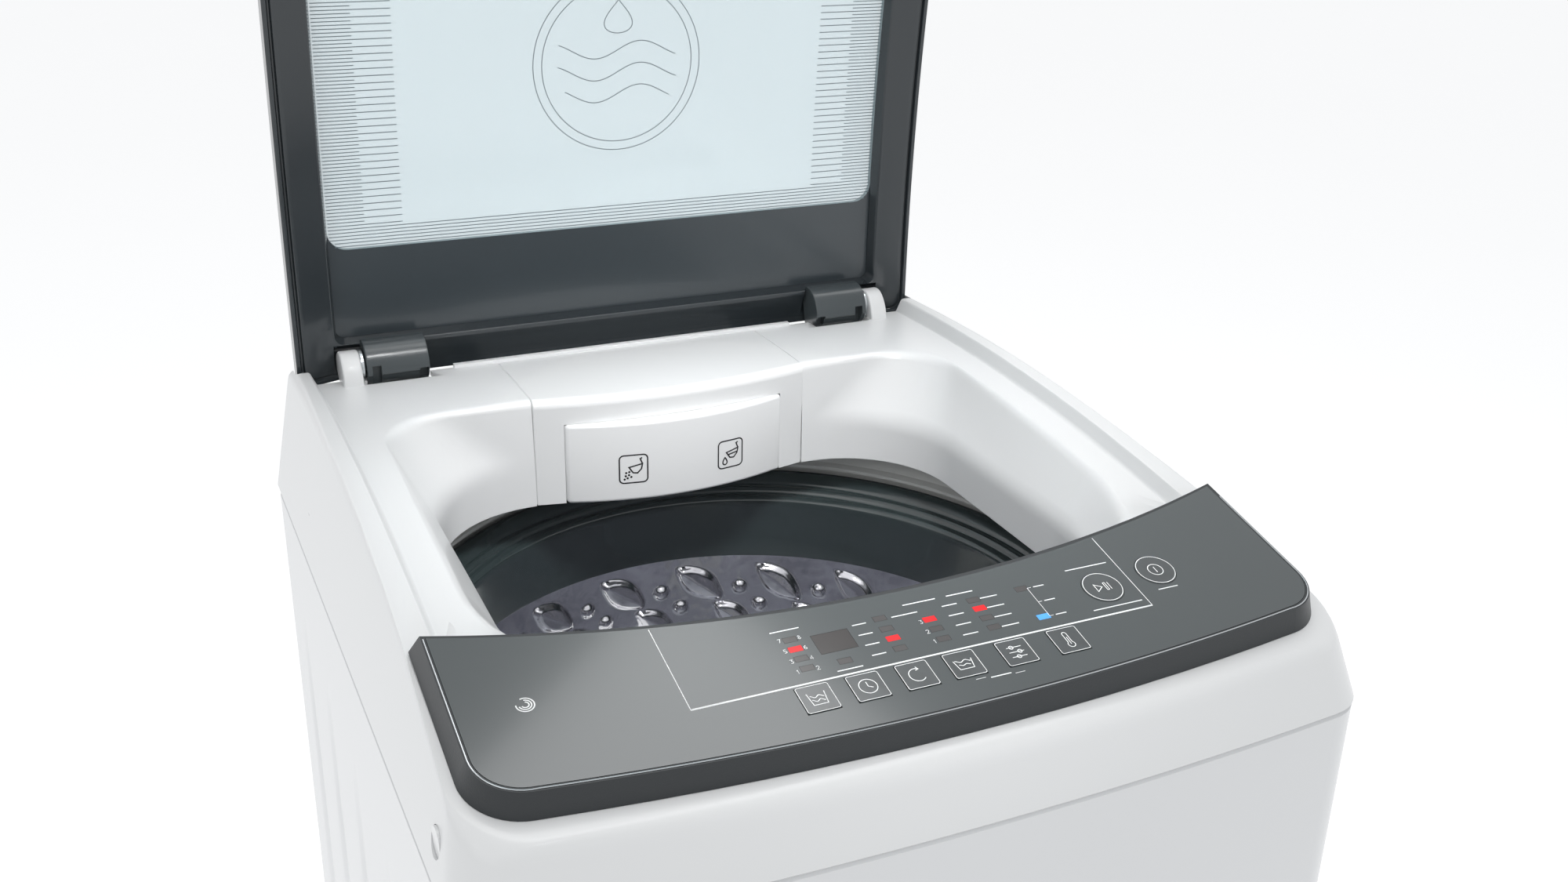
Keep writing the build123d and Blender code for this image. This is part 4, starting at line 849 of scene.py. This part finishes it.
def make_dispenser():
    """White housing flush with the deck and its bowed drawer with two line icons."""
    stations = [-HOUSING_W, -HOUSING_W + 0.15, -HOUSING_W + 0.7]
    stations += [-HOUSING_W + 2 + (2 * HOUSING_W - 4) * i / 40 for i in range(41)]
    stations += [HOUSING_W - 0.7, HOUSING_W - 0.15, HOUSING_W]
    rows = []
    for x in stations:
        off = 0.7 * (1 - smooth((HOUSING_W - abs(x)) / 0.7))
        y = housing_front(x) + off
        top = rim_z(170) - RECESS_DEPTH + 0.35 - off
        low = 829.0 + off
        section = [(y, low), (y, top - 6.5)]
        for i in range(1, 8):
            a = pi / 2 * i / 8
            section.append((y + 6.5 * (1 - cos(a)), top - 6.5 + 6.5 * sin(a)))
        for i in range(9):
            yy = y + 6.5 + (255.6 - y - 6.5) * i / 8
            section.append((yy, rim_z(yy) - RECESS_DEPTH + 0.35 - off))
        section += [(256, 904), (256, low)]
        rows.append([Vector((x, p, q)) for p, q in section])
    n = len(rows[0])
    verts, faces = skin(rows)
    cap(faces, 0, n)
    cap(faces, len(rows) - 1, n, flip=True)
    housing = piece("detergent_housing", verts, faces, WHITE, "cabinet", 35)
    cut(housing, [block("bay", (-84.2, 120, 826), (84.2, 253, 890.2))])
    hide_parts("dispenser_housing")

    r = 2.6
    stations = [(-DRAWER_W + r * (1 - cos(pi / 2 * i / 5)), r * (1 - sin(pi / 2 * i / 5))) for i in range(6)]
    stations += [(-DRAWER_W + r + (2 * DRAWER_W - 2 * r) * i / 40, 0) for i in range(1, 40)]
    stations += [(-x, inset) for x, inset in stations[5::-1]]
    rows = []
    for x, inset in stations:
        y0, y1 = drawer_front(x) + inset, 162.0
        low, high = DRAWER_LOW + inset, DRAWER_HIGH - inset
        section = [(y1, low)]
        for i in range(6):
            a = pi / 2 * i / 5
            section.append((y0 + r * (1 - sin(a)), low + r * (1 - cos(a))))
        for i in range(6):
            a = pi / 2 * i / 5
            section.append((y0 + r * (1 - cos(a)), high - r * (1 - sin(a))))
        section.append((y1, high))
        rows.append([Vector((x, p, q)) for p, q in section])
    n = len(rows[0])
    verts, faces = skin(rows)
    cap(faces, 0, n)
    cap(faces, len(rows) - 1, n, flip=True)
    face = piece("drawer_face", verts, faces, WHITE, "dispenser_drawer", 40)
    tray = block("drawer_tray", (-82.5, 161.5, 832.5), (82.5, 248, 882))
    cut(tray, [block("left_bin", (-78, 165.5, 834.7), (-2, 245.5, 900)),
               block("right_bin", (6, 165.5, 834.7), (78, 245.5, 900))], bevel=0.6)
    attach(tray, "dispenser_drawer")
    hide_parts("dispenser_drawer")

    def on_drawer(cx):
        def place(x, z):
            xx = cx + x
            return Vector((xx, drawer_front(xx) - 0.12, 854.5 + z))
        return place

    frame_line = rounded_box_outline(10.2, 10.8, 3.2)
    frame_line.append(frame_line[0])
    scoop = [(-3.4, 1.4), (6.4, 3.6), (5.6, -0.4), (2.8, -3.4), (-0.4, -3.0), (-3.4, 1.4)]
    handle = [(6.4, 3.6), (4.8, 7.6), (6.2, 8.4)]
    grains = []
    for gx, gz in ((-3.2, -2.2), (-5.4, -2.8), (-3.4, -4.6), (-5.8, -5.2), (-4.4, -7.0), (-6.6, -7.8),
                   (-1.8, -6.2)):
        grains.append([(gx + 0.3 * cos(a), gz + 0.3 * sin(a)) for a in [2 * pi * i / 8 for i in range(9)]])
    ink("powder_icon", [frame_line, scoop, handle] + grains, on_drawer(-37.8), 1.05, ICON_INK,
        "dispenser_drawer")
    drop = [(-4.6 + 2.3 * sin(2 * pi * i / 24) * sin(pi * i / 24),
             -2.4 - 5.6 * (1 - cos(2 * pi * i / 24)) / 2)
            for i in range(25)]
    level = [(-2.2, -0.6), (5.6, 0.6)]
    ink("liquid_icon", [frame_line, scoop, handle, level, drop], on_drawer(37.8), 1.05, ICON_INK,
        "dispenser_drawer")


# ------------------------------------------------------------- control panel
def on_panel(x, v, lift=0.0):
    """Point on the panel's face, v down its slope from the rear edge."""
    return Vector((x, PANEL_Y - v * cos(PANEL_TILT) - lift * sin(PANEL_TILT),
                   PANEL_Z - v * sin(PANEL_TILT) + lift * cos(PANEL_TILT)))


def print_place(x, y):
    """Place of printed ink on the overlay; y is minus the distance down the slope."""
    return on_panel(x, -y, 0.07)


KEY_XS = {"key_water_level": -72.3, "key_delay": -43.6, "key_function": -14.8, "key_rinse": 13.6,
          "key_program": 46.0, "key_temperature": 79.0}
KEY_V = 102.0
DIGITS = {
    1: [[(-0.5, 0.9), (0.2, 1.5), (0.2, -1.5)]],
    2: [[(-0.9, 0.9), (-0.5, 1.4), (0.4, 1.4), (0.9, 0.8), (0.7, 0.1), (-0.9, -1.5), (1.0, -1.5)]],
    3: [[(-0.9, 1.4), (0.9, 1.4), (0, 0.3), (0.8, -0.1), (0.9, -0.9), (0.3, -1.5), (-0.9, -1.3)]],
    4: [[(0.5, -1.5), (0.5, 1.5), (-0.9, -0.6), (1.0, -0.6)]],
    5: [[(0.8, 1.5), (-0.7, 1.5), (-0.8, 0.2), (0.3, 0.3), (0.9, -0.4), (0.6, -1.3), (-0.8, -1.4)]],
    6: [[(0.7, 1.4), (-0.4, 0.9), (-0.9, -0.5), (-0.4, -1.5), (0.5, -1.5), (0.9, -0.7), (0.4, 0.1),
         (-0.7, -0.2)]],
    7: [[(-0.9, 1.5), (0.9, 1.5), (-0.2, -1.5)]],
    8: [[(0, 0.1), (0.7, 0.8), (0, 1.5), (-0.7, 0.8), (0, 0.1), (0.9, -0.7), (0, -1.5), (-0.9, -0.7),
         (0, 0.1)]],
}


def arc(cx, cy, r, a0, a1, n=20):
    """Points along an arc, degrees."""
    return [(cx + r * cos(radians(a0 + (a1 - a0) * i / n)), cy + r * sin(radians(a0 + (a1 - a0) * i / n)))
            for i in range(n + 1)]


def moved(paths, dx, dy, scale=1.0):
    """Paths shifted and scaled."""
    return [[(dx + x * scale, dy + y * scale) for x, y in path] for path in paths]


def wave(cx, cy, half, rise=0.7):
    """Short wavy line."""
    return [(cx + x, cy + rise * sin(x * pi / half * 1.5))
            for x in [-half + 2 * half * i / 18 for i in range(19)]]


KEY_ICONS = {
    "key_water_level": [[(-5, 4), (-4, -4.5), (4, -4.5), (5, 4)], wave(0, 1.2, 3.8), wave(0, -1.6, 3.6)],
    "key_delay": [arc(0, 0, 5, 0, 360, 32), [(0, 3.2), (0, 0), (2.4, -1.4)]],
    "key_function": [arc(0, 0, 4.6, 60, 320, 24), [(1.4, 5.6), (2.4, 3.9), (0.5, 3.2)]],
    "key_rinse": [[(-5.4, 3.2), (-4.2, -3.6), (4.2, -3.6), (5.4, 3.2)], wave(0, 2.2, 4.6),
                  wave(0, -0.6, 3.4, 0.4)],
    "key_program": [[(-4.6, 3.6), (4.6, 3.6)], [(-4.6, 0), (4.6, 0)], [(-4.6, -3.6), (4.6, -3.6)],
                    arc(-1.6, 3.6, 1.2, 0, 360, 12), arc(2.0, 0, 1.2, 0, 360, 12),
                    arc(-0.4, -3.6, 1.2, 0, 360, 12)],
    "key_temperature": [arc(0, -3.6, 2.1, 130, 410, 20), [(-1.3, -2.0), (-1.3, 4.6)],
                        [(1.3, -2.0), (1.3, 4.6)],
                        arc(0, 4.6, 1.3, 0, 180, 10), [(0, -3.4), (0, 2.2)]],
}


MARK_PITCH = 8.1
FIRST_ROW = 81.4
FRAME_LEFT = -136.8
FRAME_RIGHT = 143.2
FRAME_FRONT = 90.6


def row_v(k):
    """Distance from the panel's rear edge of a row of marks, counted from the frontmost row."""
    return FIRST_ROW - MARK_PITCH * k


def panel_lines():
    """Digits in columns, and the bracket and ties between the marks."""
    paths = []
    for k in range(8):
        paths += moved(DIGITS[k + 1], (-74, -62.5)[k % 2], -row_v(k // 2), 0.9)
    for k in range(3):
        paths += moved(DIGITS[k + 1], 7, -row_v(k), 0.9)
    bracket, near, far = 80.0, -row_v(0), -row_v(3)
    paths += [[(bracket, near), (bracket, far)]]
    paths += [[(bracket, v), (bracket + 2.5, v)] for v in (near, (near + far) / 2, far)]
    return paths + [[(14, -114), (20, -114)], [(37, -116), (43, -116)]]


def panel_dashes():
    """Short dashes that stand in for words: (left, right, distance from the rear edge)."""
    dashes = [(a, b, row_v(k)) for a, b in ((-31, -22.5), (24.5, 34), (49, 60)) for k in range(4)]
    dashes += [(84, 91, row_v(k)) for k in (0, 1.5, 3)]
    dashes += [(a, b, 50) for a, b in ((-76.5, -59.5), (3.5, 24), (31, 48), (110, 138.5))]
    dashes += [(-7, 9, row_v(3)), (-54, -39, 87), (107, 140, 85), (155, 168.5, 80), (22.5, 35, 115)]
    return [[(a, -v), (b, -v)] for a, b, v in dashes]


def make_panel_print():
    """Lines, lamps and icons on the panel."""
    sides = [[(FRAME_LEFT, -29), (FRAME_LEFT, -FRAME_FRONT), (FRAME_LEFT + 17, -FRAME_FRONT)],
             [(FRAME_RIGHT, -28), (FRAME_RIGHT, -FRAME_FRONT), (FRAME_RIGHT - 15, -FRAME_FRONT)]]
    front = [[(FRAME_LEFT, -FRAME_FRONT), (FRAME_RIGHT, -FRAME_FRONT)]]
    ink("panel_frame_sides", sides, print_place, 0.45, INK, "cabinet")
    ink("panel_frame_front", front, print_place, 1.1, INK, "cabinet")
    ink("panel_fine_lines", panel_lines(), print_place, 0.32, INK, "cabinet")
    ink("panel_dashes", panel_dashes(), print_place, 0.75, INK, "cabinet")
    swirl = [arc(-213, -63, r, start, end, n)
             for r, start, end, n in ((4.6, 170, 470, 30), (3.2, 190, 450, 24), (1.9, 200, 440, 18))]
    ink("panel_swirl", swirl, print_place, 0.7, INK, "cabinet")

    for node, x in KEY_XS.items():
        outline = rounded_box_outline(9.1, 9.1, 1.2)
        outline.append(outline[0])

        def key_place(px, py, cx=x):
            return on_panel(cx + px, KEY_V - py, 0.57)

        ink(f"{node}_line", [outline], key_place, 0.4, INK, node)
        ink(f"{node}_icon", KEY_ICONS[node], key_place, 0.5, INK, node)
    round_keys = {"start_pause_button": (123.5, 69.0), "power_button": (163.5, 64.5)}
    icons = {"start_pause_button": [[(-4.6, 3), (-4.6, -3), (-0.4, 0), (-4.6, 3)], [(1.6, 3), (1.6, -3)],
                                    [(2.9, 3), (2.9, -3)], [(4.6, 3), (4.6, -3)], [(1.6, 3), (2.9, 3)],
                                    [(1.6, -3), (2.9, -3)]],
             "power_button": [arc(0, 0, 4.6, 0, 360, 36), [(0, 2.4), (0, -2.4)]]}
    for node, (x, v) in round_keys.items():
        def button_place(px, py, cx=x, cv=v):
            return on_panel(cx + px, cv - py, 0.57)

        ink(f"{node}_line", [arc(0, 0, 11.6, 0, 360, 60)], button_place, 0.5, INK, node)
        ink(f"{node}_icon", icons[node], button_place, 0.5, INK, node)

    lit = {(-68.0, 65.0): LENS_RED, (-13.7, 72.3): LENS_RED, (12.9, 64.4): LENS_RED, (44.6, 64.4): LENS_RED,
           (76.4, 80.9): LENS_BLUE}
    for i, ((x, v), look) in enumerate(lit.items()):
        outline = rounded_box_outline(3.9, 2.05, 0.3, 2)
        verts, faces = slab(outline, lambda px, py, h, cx=x, cv=v: on_panel(cx + px, cv - py, h), -0.3,
                            0.06, 0.05, 1)
        piece(f"lit_lamp_{i + 1}", verts, faces, look, "cabinet")


def panel_ring(inset, lift):
    """Row that follows the panel's outline."""
    w = 250.0 - inset
    pts = []
    n = 60
    radius = 28 - inset
    side_v, bow_v = 114.5 - inset, 131.0 - inset
    rise = bow_v - side_v

    def front_v(x):
        return bow_v - rise * (x / w) ** 2

    for i in range(n + 1):
        x = -w + 2 * w * i / n
        dip = 36 * (1 - (x / 250.0) ** 2)
        pts.append((x, dip + inset))
    corner_v = front_v(w - radius) - radius
    for i in range(9):
        pts.append((w, inset + 2 + (corner_v - inset - 2) * i / 8))
    for i in range(1, 13):
        a = pi / 2 * i / 12
        pts.append((w - radius + radius * cos(a), corner_v + radius * sin(a)))
    for i in range(1, n):
        x = (w - radius) * (1 - 2 * i / n)
        pts.append((x, front_v(x)))
    for i in range(13):
        a = pi / 2 * (1 - i / 12)
        pts.append((-w + radius - radius * cos(a), corner_v + radius * sin(a)))
    for i in range(1, 9):
        pts.append((-w, corner_v + (inset + 2 - corner_v) * i / 8))
    return [on_panel(x, v, lift) for x, v in pts]


def make_panel_trim():
    """Bright hairline round the panel's face."""
    row = panel_ring(1.15, 0.0)
    start = 62
    path = row[start:]
    verts, faces = tube(path, 0.38, 6)
    piece("panel_hairline", verts, faces, SILVER, "cabinet")


# -------------------------------------------------------------- ring and basket
def make_ring():
    """Balance ring with its stepped shoulder."""
    section = [(216.0, 731), (213.2, 756), (210.8, 779), (211.2, 783.2), (214.2, 785.6), (217.4, 786.4),
               (218.6, 788.8), (220.4, 790.6), (223.4, 791.2), (224.8, 793.6), (228.6, 797.2), (233.0, 800.0),
               (237.0, 798.2), (237.0, 748), (217.7, 748), (217.7, 731)]
    radii = [0.6, 0, 2.2, 1.6, 1.6, 1.2, 1.0, 1.0, 1.2, 1.2, 1.5, 2.0, 1.5, 0.8, 0.5, 0.5]
    verts, faces = lathe(fillet_section(section, radii, 4), 256)
    ring = piece("balance_ring_body", verts, faces, RING, "basket", 30)
    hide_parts("balance_ring")


PATTERN_STEP = 360 / 21
LEAF_START = 95.4


def leaf_height(u, w):
    """Pressed leaf: u along its length, w across, both -1 to 1 inside the pointed outline."""
    if abs(u) >= 1:
        return 0.0
    edge = (1 - u * u) * (1 - 0.25 * u * u)
    if abs(w) >= edge:
        return 0.0
    inside = 1 - abs(w) / edge
    return smooth(inside * 2.6) * (0.55 + 0.45 * inside) * smooth((1 - abs(u)) * 3.5)


LEAVES = ((0, 707, 25, 12.5), (-7.4, 675, 21, 10.5))
DOMES = ((-8.8, 701), (-13.1, 685.5), (0.6, 663))
PATTERN_DROP = 66.0


def press_depth(angle, z):
    """How far the basket's wall is pressed inward at an angle in degrees and a height."""
    depth = 0.0
    mm = radians(1) * BASKET_R
    base = (angle - LEAF_START) % PATTERN_STEP
    lowered = PATTERN_DROP * int((LEAVES[0][1] + 24 - z) / PATTERN_DROP)
    for drop in (lowered, lowered - PATTERN_DROP):
        if drop < 0:
            continue
        for turn in (-PATTERN_STEP, 0, PATTERN_STEP):
            for off, height, half_l, half_w in LEAVES:
                dx, dz = (base + turn - off) * mm, z - (height - drop)
                u = (dx * sin(radians(52)) + dz * cos(radians(52))) / half_l
                w = (dx * cos(radians(52)) - dz * sin(radians(52))) / half_w
                depth = max(depth, 5.2 * leaf_height(u, w))
            for off, height in DOMES:
                dx, dz = (base + turn - off) * mm, z - (height - drop)
                r = sqrt(dx * dx + dz * dz)
                if r < 5.6:
                    depth = max(depth, 3.6 * sqrt(1 - (r / 5.6) ** 2))
                elif r < 9.5:
                    depth = max(depth, 0.0) - 0.8 * smooth((9.5 - r) / 3.9) * smooth((r - 5.6) / 1.2)
    return depth


def make_basket():
    """Steel basket wall with its pressed leaves and domes."""
    n = 900
    levels = [304, 306] + [312 + 10 * i for i in range(29)]
    z = levels[-1]
    while z < 738:
        z += 1.5
        levels.append(z)
    levels += [741, 745]
    rows = []
    for z in levels:
        live = 340 < z < 728
        row = []
        for i in range(n):
            angle = 360 * i / n
            r = BASKET_R + 0.1
            if live:
                r -= press_depth(angle, z)
            a = radians(angle)
            row.append(Vector((r * cos(a), TUB_Y + r * sin(a), z)))
        rows.append(row)
    outer = [[Vector((219.4 * cos(2 * pi * i / n), TUB_Y + 219.4 * sin(2 * pi * i / n), z)) for i in range(n)]
             for z in (745, 304)]
    verts, faces = skin(rows + outer, across=True)
    wall = piece("basket_pressed_wall", verts, faces, STEEL, "basket", 60)
    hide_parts("basket_wall")


def make_springs():
    """Suspension springs as fixed coils round the four rods."""
    low, high = 201.6, 277.4
    rods = [(sx * 214.0, TUB_Y + sy * 214.0) for sx in (1, -1) for sy in (1, -1)]
    turns, per_turn = 7, 20
    parts = []
    for x, y in rods:
        path = []
        for i in range(turns * per_turn + 1):
            t = i / (turns * per_turn)
            a = 2 * pi * turns * t
            path.append((x + 10.6 * cos(a), y + 10.6 * sin(a), low + 1.7 + (high - low - 3.4) * t))
        parts.append(tube(path, 1.6, 8))
    verts, faces = merge(parts)
    coils = piece("suspension_coils", verts, faces, BRIGHT, None)
    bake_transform(coils)
    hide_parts("suspension_springs")


make_wrap()
make_lid()
make_dispenser()
make_panel_print()
make_panel_trim()
make_ring()
make_basket()
make_springs()


# ------------------------------------------------------------------ camera
def make_camera():
    """Looks down from the front left."""
    yaw, pitch, roll = 0.4417, 0.4017, 0.0248
    forward = Vector((sin(yaw) * cos(pitch), cos(yaw) * cos(pitch), -sin(pitch)))
    right = Vector((cos(yaw), -sin(yaw), 0))
    up = right.cross(forward)
    across = right * cos(roll) + up * sin(roll)
    upward = up * cos(roll) - right * sin(roll)
    data = bpy.data.cameras.new("camera")
    data.sensor_width = 36
    data.lens = 35.95
    data.clip_start = 0.01
    camera = bpy.data.objects.new("camera", data)
    basis = Matrix((across, upward, -forward)).transposed().to_4x4()
    camera.matrix_world = Matrix.Translation((-0.3804, -0.8306, 1.3165)) @ basis
    bpy.context.scene.collection.objects.link(camera)
    bpy.context.scene.camera = camera


def area_light(name, place, target, size, power, spread=180):
    """Soft box aimed at a point; spread is its cone in degrees."""
    data = bpy.data.lights.new(name, "AREA")
    data.energy = power
    data.shape = "SQUARE"
    data.size = size
    data.spread = radians(spread)
    lamp = bpy.data.objects.new(name, data)
    lamp.location = place
    lamp.rotation_euler = (Vector(target) - Vector(place)).to_track_quat("-Z", "Y").to_euler()
    bpy.context.scene.collection.objects.link(lamp)


def make_stage():
    """Pale floor and soft studio light."""
    floor_mat = material("floor_pale", (0.93, 0.933, 0.937), rough=0.9, vary=0.003, scale=1, spec=0.1,
                         emission=0.30)
    floor = piece("floor", [(x * 60000, y * 60000, -0.5) for x, y in ((-1, -1), (1, -1), (1, 1), (-1, 1))],
                  [[0, 1, 2, 3]], floor_mat, None)
    world = bpy.data.worlds.new("studio")
    world.use_nodes = True
    world.node_tree.nodes["Background"].inputs["Color"].default_value = (0.985, 0.992, 1.0, 1)
    world.node_tree.nodes["Background"].inputs["Strength"].default_value = 0.72
    bpy.context.scene.world = world
    bpy.context.scene.view_settings.view_transform = "Standard"
    aim = (0, 0, 0.85)
    area_light("key", (0.5, 0.3, 3.2), aim, 1.6, 20)
    area_light("basket_light", (0.02, -0.75, 2.1), (0, 0.2, 0.66), 0.2, 0.42, spread=24)
    area_light("left_fill", (-2.4, -1.4, 2.2), aim, 1.6, 4)


make_camera()
make_stage()
